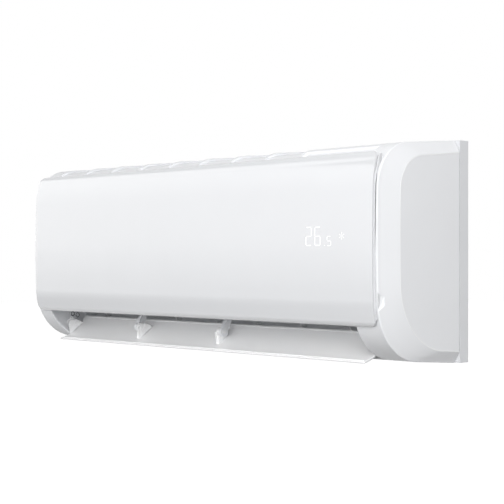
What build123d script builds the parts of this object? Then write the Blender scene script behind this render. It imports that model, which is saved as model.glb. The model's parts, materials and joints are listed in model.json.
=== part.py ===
from build123d import *
import math
import os

os.makedirs("parts", exist_ok=True)

# ---------------------------------------------------------------- driving sizes, mm
# X runs along the unit (right as seen from the room), -Y faces the room,
# +Y goes into the wall, Z is up. The origin is the middle of the wall plate's back face.

unit_width = 736.0
half_width = unit_width / 2
casing_depth = 164.4
panel_stand = 3.9
panel_depth = casing_depth + panel_stand
chassis_depth = 17.0
chassis_top = 139.0
chassis_bottom = -140.0
seam_top = 139.3
seam_bottom = -140.4
top_fall = 4.6
bottom_fall = 3.9
shell_wall = 2.5
side_slope_inset = 9.0
top_radius = 58.0
nose_radius = 74.4
top_bow = 1.1
nose_bow = 2.0
front_mid_z = 8.0

side_flat_depth = 132.0
side_flat_top = 124.2
side_flat_bottom = -126.2
side_flat_top_fall = 5.6
side_flat_top_radius = 45.0
side_flat_nose_radius = 85.5

seat_gap = 0.3
running_gap = 0.05

# the wall plate
plate_side_room = 108.0
plate_width = unit_width - 2 * plate_side_room
plate_height = 190.0
plate_thick = 1.6
plate_hole_radius = 3.0
plate_hole_span_x = plate_width - 70.0
plate_hole_span_z = 140.0
plate_window_width = 100.0
plate_window_height = 60.0
back_front_y = -8.0
hook_inset = 30.0
hook_width = 24.0
hook_thick = 2.0
hook_rise = 6.0
hook_reach = 4.0 - back_front_y
hook_top = plate_height / 2 - 10.0
back_thick = 3.0
recess_top_z = -98.0
pad_radius = 10.0
corner_web_thick = 1.5
corner_web_width = side_slope_inset + 2.0
corner_web_height = chassis_top - side_flat_top + 3.0

# the air outlet between the two cheeks
mouth_left = -half_width + 38.0
mouth_right = half_width - 48.0
pocket_depth = 8.0
cheek_wall = 2.0
duct_left = -half_width + 32.5
duct_right = half_width - 106.0
duct_wall = 2.5
mouth_top_z = -86.0

# the flap and its pivot
pivot_y = -casing_depth + 48.9
pivot_z = -111.3
flap_open_angle = 68.0
flap_recess = 3.1
flap_thick = 3.0
flap_start_angle = 211.7
flap_end_angle = 262.8
flap_end_gap = 2.0
flap_pin_radius = 2.5
bracket_boss_radius = 6.0
bracket_thick = 5.0
end_bracket_reach = 12.5
end_bracket_width = 11.0
arm_thick = 5.0
flap_motor_radius = 12.0
flap_motor_length = 16.0
flap_pin_drive = 6.0

# the front panel
panel_half_width = half_width - 12.3
panel_top = 118.8
panel_bottom = -90.2
panel_thick = 3.0
panel_top_corner = 10.0
panel_bottom_corner = 8.0
panel_trim_gap = 0.1
panel_axis_y = -casing_depth + 11.9
panel_axis_z = 111.5
panel_pin_radius = 2.0
panel_ear_x = panel_half_width - 6.7
panel_ear_thick = 3.0
panel_pin_length = 5.0

# the fan and its drive
fan_y = -(casing_depth - 24.4) / 2
fan_z = -22.0
fan_radius = (casing_depth - 26.4) / 3
fan_left = duct_left + 19.5
fan_right = duct_right - 12.0
fan_blade_count = 32
fan_blade_depth = 12.0
fan_blade_thick = 1.2
fan_ring_count = 5
fan_ring_thick = 2.0
hub_length = 4.0
bearing_radius = 8.0
bearing_length = 6.0
bearing_left = -half_width + 23.0
shaft_radius = 4.0
stub_shaft_radius = 3.0
motor_radius = 42.0
motor_left = duct_right + 8.0
motor_length = 44.0
motor_hub_radius = 12.0
saddle_front_y = fan_y + 18.0
saddle_length = 32.0
clamp_wall = 3.0
clamp_width = 18.0

# the heat exchanger
coil_left = fan_left - 2.0
coil_right = fan_right
coil_thick = 24.0
tube_radius = 3.5
tube_pitch = 21.0
end_sheet = 2.0
bend_reach = 12.0
bend_radius = 8.0
coil_front_y = -casing_depth + 18.4
lower_coil_bottom = -52.0
lower_coil_top = 38.0
upper_coil_start = (-casing_depth + 36.4, 46.0)
upper_coil_end = (fan_y - 21.0, 96.0)
rear_coil_start = (fan_y, 96.0)
rear_coil_end = (-24.0, 43.0)

# the drain pan with the outlet's ceiling
pan_front_y = -casing_depth + 12.4
pan_rear_y = -casing_depth + 51.4
pan_top_z = -50.0
pan_floor_z = -64.0
pan_wall = 2.5
tongue = (fan_y - 29.0, fan_z - fan_radius + 2.5)
ceiling_end = (-casing_depth + 22.9, -91.5)

# the scroll and the outlet's floor
scroll_top = (-22.0, 12.0)
scroll_mid = (-15.5, -28.0)
scroll_low = (-38.0, fan_z - fan_radius - 6.0)
floor_end_back = 70.4
floor_end = (-casing_depth + floor_end_back, -132.4)

# the upright louvres
louvre_count = 7
left_louvre_count = 3
louvre_first_x = duct_left + 39.5
louvre_end_room = 69.5
louvre_pitch = (duct_right - duct_left - louvre_end_room) / (louvre_count - 1)
support_left_back = 32.0
support_left_x = louvre_first_x + 2 * louvre_pitch - support_left_back
support_middle_back = 28.0
support_middle_x = louvre_first_x + 4 * louvre_pitch - support_middle_back
louvre_run = fan_radius - 12.8
louvre_front = 9.0
louvre_back = 16.0
louvre_back_height = 24.0
louvre_height = 32.0
louvre_thick = 1.6
louvre_floor_gap = 0.8
louvre_pin_radius = 1.5
louvre_pin_sink = 1.8
louvre_swing = 25.0
link_arm = 12.0
link_pin_radius = 1.0
link_width = 7.0
link_thick = 2.5
link_level = 20.0
link_play = 0.35
link_overhang = 14.0

# the air filters
filter_y = -casing_depth + 9.4
filter_bottom_z = -73.0
filter_knee = (filter_y, 40.0)
filter_top = (-casing_depth + 55.9, 104.0)
filter_thick = 1.6
filter_rim = 8.0
filter_mesh = 0.5
filter_rib = 2.4
filter_rib_count = 3
filter_left = coil_left
filter_right = coil_right - 18.0
filter_split_x = (filter_left + filter_right) / 2 + 13.0
filter_split_gap = 8.0

# the intake grille
grille_left = -half_width + 22.0
grille_right = half_width - 23.0
grille_plain_end = 160.5
grille_last_rib_x = half_width - grille_plain_end
grille_bay_count = 8
grille_left_land = 13.5
grille_pitch = (grille_last_rib_x - grille_left - grille_left_land) / grille_bay_count
grille_rib = 5.0
grille_bar = 3.6
grille_bar_pitch = 10.5
grille_front_y = -casing_depth + 13.9
grille_rear_y = -26.0
grille_end_land = 8.0
grille_slot_margin = 4.0
grille_ledge_y = -casing_depth + 36.4
grille_step = 3.0

# the electrics
box_left = half_width - 50.0
box_right = half_width - 14.0
box_front_y = -casing_depth + 24.4
box_bottom_z = -56.0
box_top_z = 100.0
box_wall = 2.0
board_thick = 1.6
button_x = half_width - 68.0
button_z = -60.0
button_radius = 4.0
button_travel = 1.5
display_width = 84.0
display_right = half_width - 46.0
display_left = display_right - display_width
display_bottom = -4.0
display_top = 40.0
module_depth = 9.0
button_flange = 1.0

# the pipework
gas_pipe_radius = 4.76
liquid_pipe_radius = 3.18
gas_thread_radius = 7.9
liquid_thread_radius = 5.5
thread_length = 14.0
nut_length = 12.0
pipe_drop_x = duct_right + 8.6
gas_lane_y = -13.6
liquid_lane_y = -23.0
gas_run_z = -112.0
gas_bend_radius = 9.0
liquid_bend_radius = 5.5
liquid_turn_back = 28.0
liquid_step = 6.0
liquid_over_duct = 12.0
liquid_run_z = -126.0
pipe_wall = 1.0
# both unions point into the wall, where the lines come out of it
union_rear_y = -2.0
gas_end_x = -110.0
gas_step_x = gas_end_x + 28.0
gas_end_lane_y = -38.0
liquid_end_x = -150.0
liquid_end_lane_y = -35.0
spout_radius = 8.0
spout_bore_radius = 6.4
drain_bend_radius = 8.6
spout_y = -44.0
spout_tip_y = -3.0
spout_z = -122.0
drain_lane_x = -half_width + 21.0

# ---------------------------------------------------------------- worked-out places

casing_half = half_width - side_slope_inset
seam_y = -chassis_depth
# a place in front of everything, and one above it, for cutting shapes
outside_y = -casing_depth - 25.6
outside_z = 150.0


class Outline:
    """The side outline of the casing: a sloping top, a round top front edge, a slightly
    bowed front, a large round nose and a sloping underside, open at the wall seam."""

    def __init__(self, depth, top_z, bottom_z, fall, drop, upper_radius, lower_radius, bows):
        self.upper_radius = upper_radius
        self.lower_radius = lower_radius
        self.front_y = -depth
        self.fall = fall
        self.drop = drop
        self.top_z = top_z
        self.upper_y = -depth + bows[0] + upper_radius
        self.lower_y = -depth + bows[1] + lower_radius
        line_z = top_z + math.tan(math.radians(fall)) * (self.upper_y - seam_y)
        self.upper_z = line_z - upper_radius / math.cos(math.radians(fall))
        end_y = self.lower_y - lower_radius * math.sin(math.radians(drop))
        rise = math.tan(math.radians(drop)) * (seam_y - end_y)
        self.lower_z = bottom_z + rise + lower_radius * math.cos(math.radians(drop))
        self.bottom_z = bottom_z

    def draw(self, inset):
        """Closed outline, drawn inset from the outer skin, in the Y and Z of the side view."""
        upper = self.upper_radius - inset
        lower = self.lower_radius - inset
        top_rear = (seam_y, self.top_z - inset / math.cos(math.radians(self.fall)))
        low_rear = (seam_y, self.bottom_z + inset / math.cos(math.radians(self.drop)))
        top_arc = CenterArc((self.upper_y, self.upper_z), upper, 90 + self.fall, 90 - self.fall)
        nose_arc = CenterArc((self.lower_y, self.lower_z), lower, 180, 90 - self.drop)
        Line(top_rear, top_arc @ 0)
        ThreePointArc(top_arc @ 1, (self.front_y + inset, front_mid_z), nose_arc @ 0)
        Line(nose_arc @ 1, low_rear)
        Line(low_rear, top_rear)


casing = Outline(casing_depth, seam_top, seam_bottom, top_fall, bottom_fall,
                 top_radius, nose_radius, (top_bow, nose_bow))
side_flat = Outline(side_flat_depth, side_flat_top, side_flat_bottom, side_flat_top_fall,
                    bottom_fall, side_flat_top_radius, side_flat_nose_radius, (0.7, 0.7))


def wall_rectangle(corner_y, corner_z, other_y, other_z):
    """Upright rectangle between two corners of the side view."""
    with Locations(((corner_y + other_y) / 2, (corner_z + other_z) / 2)):
        Rectangle(abs(other_y - corner_y), abs(other_z - corner_z))


def side_plane(x):
    """Plane of the side view at the place x."""
    return Plane.YZ.offset(x)


def save(piece, label):
    """Name a finished piece and write it out."""
    piece.part.label = label
    export_step(piece.part, f"parts/{label}.step")


# ---------------------------------------------------------------- wall plate and chassis

with BuildPart() as mounting_plate:
    with BuildSketch(Plane.XZ):
        RectangleRounded(plate_width, plate_height, 8)
        with GridLocations(plate_hole_span_x, plate_hole_span_z, 2, 2):
            Circle(plate_hole_radius, mode=Mode.SUBTRACT)
        with Locations((-plate_width / 4, 0), (plate_width / 4, 0)):
            RectangleRounded(plate_window_width, plate_window_height, 6, mode=Mode.SUBTRACT)
    extrude(amount=plate_thick)
    # a hook near each end, which grips the chassis from behind
    with BuildSketch(Plane.YZ.offset(-plate_width / 2 + hook_inset)):
        wall_rectangle(-hook_reach, hook_top - hook_thick, 0, hook_top)
        wall_rectangle(-hook_reach, hook_top - hook_thick,
                       -hook_reach + hook_thick, hook_top + hook_rise)
    extrude(amount=hook_width)
    mirror(about=Plane.YZ)
save(mounting_plate, "mounting_plate")

chassis_height = chassis_top - chassis_bottom
chassis_mid_z = (chassis_top + chassis_bottom) / 2
hook_slot_z = plate_height / 2 - 9

with BuildPart() as rear_chassis:
    with BuildSketch(Plane.XZ):
        with Locations((0, chassis_mid_z)):
            Rectangle(unit_width, chassis_height)
            Rectangle(unit_width - 2 * shell_wall, chassis_height - 2 * shell_wall,
                      mode=Mode.SUBTRACT)
    extrude(amount=chassis_depth)
    with BuildSketch(Plane.XZ.offset(-back_front_y - back_thick)):
        with Locations((0, (chassis_top + recess_top_z) / 2)):
            Rectangle(unit_width - 2 * shell_wall + 1, chassis_top - recess_top_z - 2)
        with Locations((-plate_width / 2 + 42, hook_slot_z), (plate_width / 2 - 42, hook_slot_z)):
            Rectangle(30, 16, mode=Mode.SUBTRACT)
    extrude(amount=back_thick)
    with BuildSketch(Plane.XZ.offset(plate_thick)):
        with GridLocations(plate_hole_span_x - 60, plate_hole_span_z - 20, 2, 2):
            Circle(pad_radius)
    extrude(amount=-back_front_y - back_thick - plate_thick)
    # the shelf over the pipe recess
    with BuildSketch(Plane.XZ):
        with Locations((0, recess_top_z)):
            Rectangle(unit_width - 2 * shell_wall + 1, shell_wall)
    extrude(amount=-back_front_y)
    # the webs that shut the corners beside the covers' sloping bands
    with BuildSketch(Plane.XZ.offset(chassis_depth - corner_web_thick)):
        for side in (-1, 1):
            for edge_z, way in ((chassis_top, -1), (chassis_bottom, 1)):
                with Locations((side * (half_width - corner_web_width / 2),
                                edge_z + way * corner_web_height / 2)):
                    Rectangle(corner_web_width, corner_web_height)
    extrude(amount=corner_web_thick)
    # the saddle that the motor lies in
    with BuildSketch(side_plane(motor_left + 6)):
        wall_rectangle(saddle_front_y, fan_z - motor_radius - 6,
                       back_front_y, fan_z + motor_radius + 6)
        with Locations((fan_y, fan_z)):
            Circle(motor_radius + running_gap, mode=Mode.SUBTRACT)
    extrude(amount=saddle_length)
save(rear_chassis, "rear_chassis")

# ---------------------------------------------------------------- the front casing

cheek_left_wall = mouth_left - pocket_depth
cheek_right_wall = mouth_right + pocket_depth
window_top = 96.0
window_bottom = -66.0
ledge_z = filter_bottom_z
pin_bore_radius = flap_pin_radius + running_gap
ear_slot_width = panel_ear_thick + 1.0
ear_slot_height = 25.0
ear_slot_drop = 7.5
front_cut_start = casing_depth - 34.4
front_cut_depth = 40.0
mouth_rear_y = floor_end[0] + 34.0

with BuildPart() as front_casing:
    with BuildSketch(side_plane(-casing_half)):
        with BuildLine():
            casing.draw(0)
        make_face()
        with BuildLine():
            casing.draw(shell_wall)
        make_face(mode=Mode.SUBTRACT)
    extrude(amount=2 * casing_half)
    # the two windows that the filters lie behind
    with BuildSketch(Plane.XZ.offset(casing_depth - 20)):
        for left, right in ((filter_left + 10, filter_split_x - 10),
                            (filter_split_x + 10, filter_right - 10)):
            with Locations(((left + right) / 2, (window_top + window_bottom) / 2)):
                RectangleRounded(right - left, window_top - window_bottom, 8)
        with Locations(((display_left + display_right) / 2, (display_top + display_bottom) / 2)):
            Rectangle(display_right - display_left - 6, display_top - display_bottom - 6)
    extrude(amount=40, mode=Mode.SUBTRACT)
    # the opening in the top for the grille
    with BuildSketch(side_plane(grille_left)):
        with BuildLine():
            Polyline((grille_front_y, 60), (grille_front_y, outside_z),
                     (grille_rear_y, outside_z), (grille_rear_y, 60), (grille_front_y, 60))
        make_face()
    extrude(amount=grille_right - grille_left, mode=Mode.SUBTRACT)
    # the mouth of the air outlet
    with BuildSketch(side_plane(mouth_left)):
        with BuildLine():
            Polyline((outside_y, mouth_top_z), (mouth_rear_y, mouth_top_z),
                     (mouth_rear_y, floor_end[1] + 12), (floor_end[0], floor_end[1] + 2),
                     (floor_end[0], -outside_z), (outside_y, -outside_z), (outside_y, mouth_top_z))
        make_face()
    extrude(amount=mouth_right - mouth_left, mode=Mode.SUBTRACT)
    # the cheeks' inner walls, which hold the flap's pins
    with BuildSketch(side_plane(cheek_left_wall - cheek_wall)) as cheek_side:
        with BuildLine():
            casing.draw(shell_wall / 2)
        make_face()
        with BuildLine():
            Polyline((outside_y, mouth_top_z + 6), (mouth_rear_y - 2, mouth_top_z + 6),
                     (mouth_rear_y - 2, -outside_z), (outside_y, -outside_z),
                     (outside_y, mouth_top_z + 6))
        make_face(mode=Mode.INTERSECT)
        with Locations((pivot_y, pivot_z)):
            Circle(pin_bore_radius, mode=Mode.SUBTRACT)
    extrude(amount=cheek_wall)
    extrude(cheek_side.sketch.moved(Location((cheek_right_wall - cheek_left_wall + cheek_wall,
                                              0, 0))), amount=cheek_wall)
    # the ledge that the filters stand on
    with BuildSketch(Plane.XZ.offset(-pan_front_y + 0.6)):
        with Locations(((filter_left + filter_right) / 2, ledge_z - shell_wall / 2)):
            Rectangle(filter_right - filter_left, shell_wall)
    extrude(amount=casing_depth + pan_front_y - nose_bow - 1.2)
    # the slots that the panel's ears dip into, and the sockets for its pins
    for side in (-1, 1):
        with BuildSketch(Plane.XZ.offset(front_cut_start)):
            with Locations((side * panel_ear_x, panel_axis_z - ear_slot_drop)):
                Rectangle(ear_slot_width, ear_slot_height)
        extrude(amount=front_cut_depth, mode=Mode.SUBTRACT)
        socket_x = side * (panel_ear_x + ear_slot_width / 2 + panel_pin_length / 2)
        with BuildSketch(side_plane(socket_x - panel_pin_length / 2)):
            with Locations((panel_axis_y, panel_axis_z)):
                Circle(panel_pin_radius + 1.5)
            with BuildLine():
                Polyline((panel_axis_y, panel_axis_z + 3.4), (panel_axis_y + 6, panel_axis_z),
                         (panel_axis_y + 6, panel_axis_z - 8), (panel_axis_y - 2, panel_axis_z - 10),
                         (panel_axis_y - 4.5, panel_axis_z - 8), (panel_axis_y - 3.4, panel_axis_z),
                         (panel_axis_y, panel_axis_z + 3.4))
            make_face()
            with Locations((panel_axis_y, panel_axis_z)):
                Circle(panel_pin_radius + running_gap, mode=Mode.SUBTRACT)
        extrude(amount=panel_pin_length)
    # the hole for the manual button
    with BuildSketch(Plane.XZ.offset(front_cut_start)):
        with Locations((button_x, button_z)):
            Circle(button_radius + 0.2)
    extrude(amount=front_cut_depth, mode=Mode.SUBTRACT)
save(front_casing, "front_casing")

# ---------------------------------------------------------------- the side covers


def side_cover(direction):
    """Thin dished cover over one end: a sloping band round a flat panel."""
    rim = casing_half * direction
    flat = half_width * direction
    with BuildPart() as cover:
        with BuildSketch(side_plane(rim)):
            with BuildLine():
                casing.draw(0)
            make_face()
        with BuildSketch(side_plane(flat)):
            with BuildLine():
                side_flat.draw(0)
            make_face()
        loft(ruled=True)
        with BuildSketch(side_plane(rim)):
            with BuildLine():
                casing.draw(shell_wall)
            make_face()
        with BuildSketch(side_plane(flat - direction * shell_wall)):
            with BuildLine():
                side_flat.draw(shell_wall)
            make_face()
        loft(ruled=True, mode=Mode.SUBTRACT)
    return cover


left_side_cover = side_cover(-1)
save(left_side_cover, "left_side_cover")
right_side_cover = side_cover(1)
save(right_side_cover, "right_side_cover")


# ---------------------------------------------------------------- the intake grille

with BuildPart() as top_grille:
    with BuildSketch(side_plane(grille_left + seat_gap)):
        with BuildLine():
            casing.draw(0)
        make_face()
        with BuildLine():
            casing.draw(shell_wall + grille_step)
        make_face(mode=Mode.SUBTRACT)
        with BuildLine():
            Polyline((grille_front_y + seat_gap, 70), (grille_front_y + seat_gap, outside_z),
                     (grille_rear_y - seat_gap, outside_z), (grille_rear_y - seat_gap, 70),
                     (grille_front_y + seat_gap, 70))
        make_face(mode=Mode.INTERSECT)
    extrude(amount=grille_right - grille_left - 2 * seat_gap)
    bay_width = grille_pitch - grille_rib
    # each bay lies a step below the ribs between the bays
    for bay in range(grille_bay_count):
        bay_x = grille_last_rib_x - (bay + 0.5) * grille_pitch
        with BuildSketch(side_plane(bay_x - bay_width / 2)):
            with BuildLine():
                casing.draw(-1)
            make_face()
            with BuildLine():
                casing.draw(grille_step)
            make_face(mode=Mode.SUBTRACT)
            with BuildLine():
                Polyline((outside_y, 70), (outside_y, outside_z),
                         (grille_rear_y - grille_end_land, outside_z),
                         (grille_rear_y - grille_end_land, 70), (outside_y, 70))
            make_face(mode=Mode.INTERSECT)
        extrude(amount=bay_width, mode=Mode.SUBTRACT)
    # the slots that the air goes in through
    slots_rear_y = grille_rear_y - grille_end_land - grille_slot_margin
    bar_count = int((slots_rear_y + grille_slot_margin - grille_ledge_y) / grille_bar_pitch)
    with BuildSketch(Plane.XY.offset(100)):
        for bay in range(grille_bay_count):
            bay_x = grille_last_rib_x - (bay + 0.5) * grille_pitch
            for bar in range(bar_count):
                with Locations((bay_x, slots_rear_y - (bar + 0.5) * grille_bar_pitch)):
                    Rectangle(bay_width - grille_slot_margin, grille_bar_pitch - grille_bar)
    extrude(amount=60, mode=Mode.SUBTRACT)
    # the ledge beside the last rib, along the panel's top edge
    with BuildSketch(side_plane(grille_last_rib_x + grille_rib / 2)):
        with BuildLine():
            casing.draw(-1)
        make_face()
        with BuildLine():
            casing.draw(grille_step)
        make_face(mode=Mode.SUBTRACT)
        with BuildLine():
            Polyline((outside_y, 90), (grille_ledge_y, 90), (grille_ledge_y, outside_z),
                     (outside_y, outside_z), (outside_y, 90))
        make_face(mode=Mode.INTERSECT)
    extrude(amount=grille_right - grille_last_rib_x - grille_rib / 2 - 12, mode=Mode.SUBTRACT)
save(top_grille, "top_grille")

# ---------------------------------------------------------------- the front panel


def face_y(step):
    """Place a step behind the foremost line of the panel."""
    return -panel_depth + step


with BuildPart() as front_panel:
    with BuildSketch(side_plane(-panel_half_width)):
        with BuildLine():
            low_return = Line((face_y(10.1), panel_bottom), (face_y(9.1), panel_bottom))
            low_corner = ThreePointArc(low_return @ 1, (face_y(6.6), panel_bottom + 2.2),
                                       (face_y(4.9), panel_bottom + 6.6))
            low_bow = ThreePointArc(low_corner @ 1, (face_y(2.4), panel_bottom + 18.2),
                                    (face_y(1.2), panel_bottom + 34.2))
            front_bow = ThreePointArc(low_bow @ 1, (face_y(0), (panel_top + panel_bottom) / 2),
                                      (face_y(1.2), panel_top - 46.8))
            top_curve = ThreePointArc(front_bow @ 1, (face_y(2.9), panel_top - 26.8),
                                      (face_y(7.1), panel_top - 9.3))
            top_corner = ThreePointArc(top_curve @ 1, (face_y(9.5), panel_top - 3.0),
                                       (face_y(12.3), panel_top))
            Line(top_corner @ 1, (face_y(15.3), panel_top))
            offset(amount=panel_thick, side=Side.RIGHT)
        make_face()
    extrude(amount=2 * panel_half_width)
    with BuildSketch(Plane.XZ.offset(100)):
        with Locations((0, (panel_top + panel_bottom) / 2)):
            Rectangle(2 * panel_half_width, panel_top - panel_bottom + 2 * panel_trim_gap)
        fillet(vertices().group_by(Axis.Y)[-1], panel_top_corner)
        fillet(vertices().group_by(Axis.Y)[0], panel_bottom_corner)
    extrude(amount=100, mode=Mode.INTERSECT)
    # the ears with the hinge pins, moulded on behind the top edge
    for side in (-1, 1):
        with BuildSketch(side_plane(side * panel_ear_x - panel_ear_thick / 2)):
            with Locations((panel_axis_y, panel_axis_z)):
                Circle(panel_pin_radius + 1.2)
            with BuildLine():
                Polyline((panel_axis_y + 2, panel_axis_z - 2), (panel_axis_y, panel_axis_z + 3),
                         (panel_axis_y - 6.5, panel_axis_z - 1), (face_y(4.8), panel_top - 24),
                         (face_y(11), panel_top - 26), (panel_axis_y + 2, panel_axis_z - 2))
            make_face()
        extrude(amount=panel_ear_thick)
        pin_start = side * (panel_ear_x + panel_ear_thick / 2)
        with BuildSketch(side_plane(min(pin_start, pin_start + side * panel_pin_length))):
            with Locations((panel_axis_y, panel_axis_z)):
                Circle(panel_pin_radius)
        extrude(amount=panel_pin_length)
save(front_panel, "front_panel")

# ---------------------------------------------------------------- the flap

flap_outer_radius = nose_radius - flap_recess
flap_inner_radius = flap_outer_radius - flap_thick
flap_middle_radius = flap_outer_radius - flap_thick / 2
flap_turn = math.radians(flap_open_angle)
nose_y = casing.lower_y
nose_z = casing.lower_z
flap_left = mouth_left + flap_end_gap
flap_right = mouth_right - flap_end_gap
mid_angle = (flap_start_angle + flap_end_angle) / 2
edge_turn = math.degrees(flap_thick / 2 / flap_outer_radius)


def flap_plane(x):
    """Side plane of the flap as it stands open, whose own axes are those of the shut flap,
    with their origin on the pivot."""
    return Plane(origin=(x, pivot_y, pivot_z),
                 x_dir=(0, math.cos(flap_turn), math.sin(flap_turn)), z_dir=(1, 0, 0))


def nose_point(angle, radius):
    """Point about the nose's centre, seen from the pivot, on the shut flap."""
    return (nose_y - pivot_y + radius * math.cos(math.radians(angle)),
            nose_z - pivot_z + radius * math.sin(math.radians(angle)))


def nose_arc(start, end, radius):
    """Arc about the nose's centre between two angles, on the shut flap."""
    return ThreePointArc(nose_point(start, radius), nose_point((start + end) / 2, radius),
                         nose_point(end, radius))


with BuildPart() as flap:
    with BuildSketch(flap_plane(flap_left)):
        with BuildLine():
            skin = nose_arc(flap_start_angle + edge_turn, flap_end_angle - edge_turn,
                            flap_outer_radius)
            back = nose_arc(flap_end_angle - edge_turn, flap_start_angle + edge_turn,
                            flap_inner_radius)
            ThreePointArc(skin @ 1, nose_point(flap_end_angle, flap_middle_radius), back @ 0)
            ThreePointArc(back @ 1, nose_point(flap_start_angle, flap_middle_radius), skin @ 0)
        make_face()
    extrude(amount=flap_right - flap_left)
save(flap, "flap")

bracket_xs = (support_left_x, support_middle_x)
arm_offset = bracket_thick / 2 + arm_thick / 2 + seat_gap
arm_xs = (support_left_x - arm_offset, support_middle_x + arm_offset)
pivot_angle = math.degrees(math.atan2(pivot_z - nose_z, pivot_y - nose_y))

with BuildPart() as flap_brackets:
    # two fans that stand on the flap's hollow side, with their pins in the arms
    for bracket_x, arm_x in zip(bracket_xs, arm_xs):
        with BuildSketch(flap_plane(bracket_x - bracket_thick / 2)):
            Circle(bracket_boss_radius)
            with BuildLine():
                foot = nose_arc(mid_angle - 9, mid_angle + 11, flap_inner_radius)
                Polyline(foot @ 1, (bracket_boss_radius * 0.9, -1.0),
                         (-bracket_boss_radius * 0.9, 2.0), foot @ 0)
            make_face()
        extrude(amount=bracket_thick)
        toward = 1 if arm_x > bracket_x else -1
        pin_length = bracket_thick / 2 + seat_gap + arm_thick
        with BuildSketch(flap_plane(min(bracket_x, bracket_x + toward * pin_length))):
            Circle(flap_pin_radius)
        extrude(amount=pin_length)
    # short ones at the flap's ends, which turn in the cheeks
    for bracket_x, pin_x, pin_length in (
            (flap_left - bracket_thick, cheek_left_wall - cheek_wall,
             flap_left - cheek_left_wall + cheek_wall),
            (flap_right, flap_right, cheek_right_wall + cheek_wall + flap_pin_drive - flap_right)):
        with BuildSketch(flap_plane(bracket_x)):
            Circle(end_bracket_reach)
            with Locations(Location((0, 0, 0), (0, 0, 1), pivot_angle)):
                with Locations((end_bracket_reach / 2 - 3, 0)):
                    Rectangle(end_bracket_reach + 8, end_bracket_width, mode=Mode.INTERSECT)
        extrude(amount=bracket_thick)
        with BuildSketch(flap_plane(pin_x)):
            Circle(flap_pin_radius)
        extrude(amount=pin_length)
save(flap_brackets, "flap_brackets")

ceiling_slope = (ceiling_end[1] - tongue[1]) / (ceiling_end[0] - tongue[0])


def ceiling_z(y):
    """Height of the outlet's ceiling at the place y."""
    return tongue[1] + ceiling_slope * (y - tongue[0])


arm_front_y = pivot_y + 8.4
arm_rear_y = pivot_y + 15.4

with BuildPart() as support_arms:
    for arm_x in arm_xs:
        with BuildSketch(side_plane(arm_x - arm_thick / 2)):
            with Locations((pivot_y, pivot_z)):
                Circle(bracket_boss_radius - 0.5)
            with BuildLine():
                Polyline((pivot_y - 4.4, pivot_z + 2.8), (arm_front_y, pivot_z + 24),
                         (arm_front_y, ceiling_z(arm_front_y)), (arm_rear_y, ceiling_z(arm_rear_y)),
                         (arm_rear_y, pivot_z + 20.5), (pivot_y + 4.6, pivot_z - 2.4),
                         (pivot_y - 4.4, pivot_z + 2.8))
            make_face()
            with Locations((pivot_y, pivot_z)):
                Circle(pin_bore_radius, mode=Mode.SUBTRACT)
        extrude(amount=arm_thick)
save(support_arms, "support_arms")

motor_face_x = cheek_right_wall + cheek_wall + seat_gap

with BuildPart() as flap_motor:
    with BuildSketch(side_plane(motor_face_x)):
        with Locations((pivot_y, pivot_z)):
            Circle(flap_motor_radius)
        with Locations((pivot_y + 5, pivot_z + 8)):
            Rectangle(9, 26)
    extrude(amount=flap_motor_length)
    with BuildSketch(side_plane(motor_face_x)):
        with Locations((pivot_y, pivot_z)):
            Circle(pin_bore_radius)
    extrude(amount=flap_pin_drive + seat_gap, mode=Mode.SUBTRACT)
save(flap_motor, "flap_motor")

with BuildPart() as cheek_caps:
    for cap_y, cap_z in ((pivot_y + 5.5, pivot_z + 13.3), (pivot_y + 15, pivot_z + 11.3)):
        with BuildSketch(side_plane(cheek_left_wall)):
            with Locations((cap_y, cap_z)):
                Circle(4)
                Circle(2.4, mode=Mode.SUBTRACT)
        extrude(amount=1.4)
save(cheek_caps, "cheek_caps")

# ---------------------------------------------------------------- drain pan and outlet duct

with BuildPart() as drain_pan:
    with BuildSketch(side_plane(duct_left)):
        with BuildLine():
            Polyline((pan_front_y, pan_top_z), (pan_front_y + pan_wall, pan_top_z),
                     (pan_front_y + pan_wall, pan_floor_z), (pan_rear_y - pan_wall, pan_floor_z),
                     (pan_rear_y - pan_wall, pan_top_z), (pan_rear_y, pan_top_z),
                     (pan_rear_y, tongue[1] + 5), (tongue[0] - 3, tongue[1] + 5),
                     tongue, ceiling_end, (pan_front_y, ceiling_end[1]), (pan_front_y, pan_top_z))
        make_face()
    extrude(amount=duct_right - duct_left)
save(drain_pan, "drain_pan")

floor_length = math.hypot(floor_end[0] - scroll_low[0], floor_end[1] - scroll_low[1])
flow_y = (floor_end[0] - scroll_low[0]) / floor_length
flow_z = (floor_end[1] - scroll_low[1]) / floor_length


def floor_place(run, above):
    """Point a run down the outlet's floor from the scroll's end, and a height above it."""
    return (scroll_low[0] + run * flow_y + above * flow_z,
            scroll_low[1] + run * flow_z - above * flow_y)


blank_run = 17.3
under_start = floor_place(0, -duct_wall)
under_end = floor_place(floor_length, -duct_wall)
shelf_z = scroll_top[1] + 12

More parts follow.
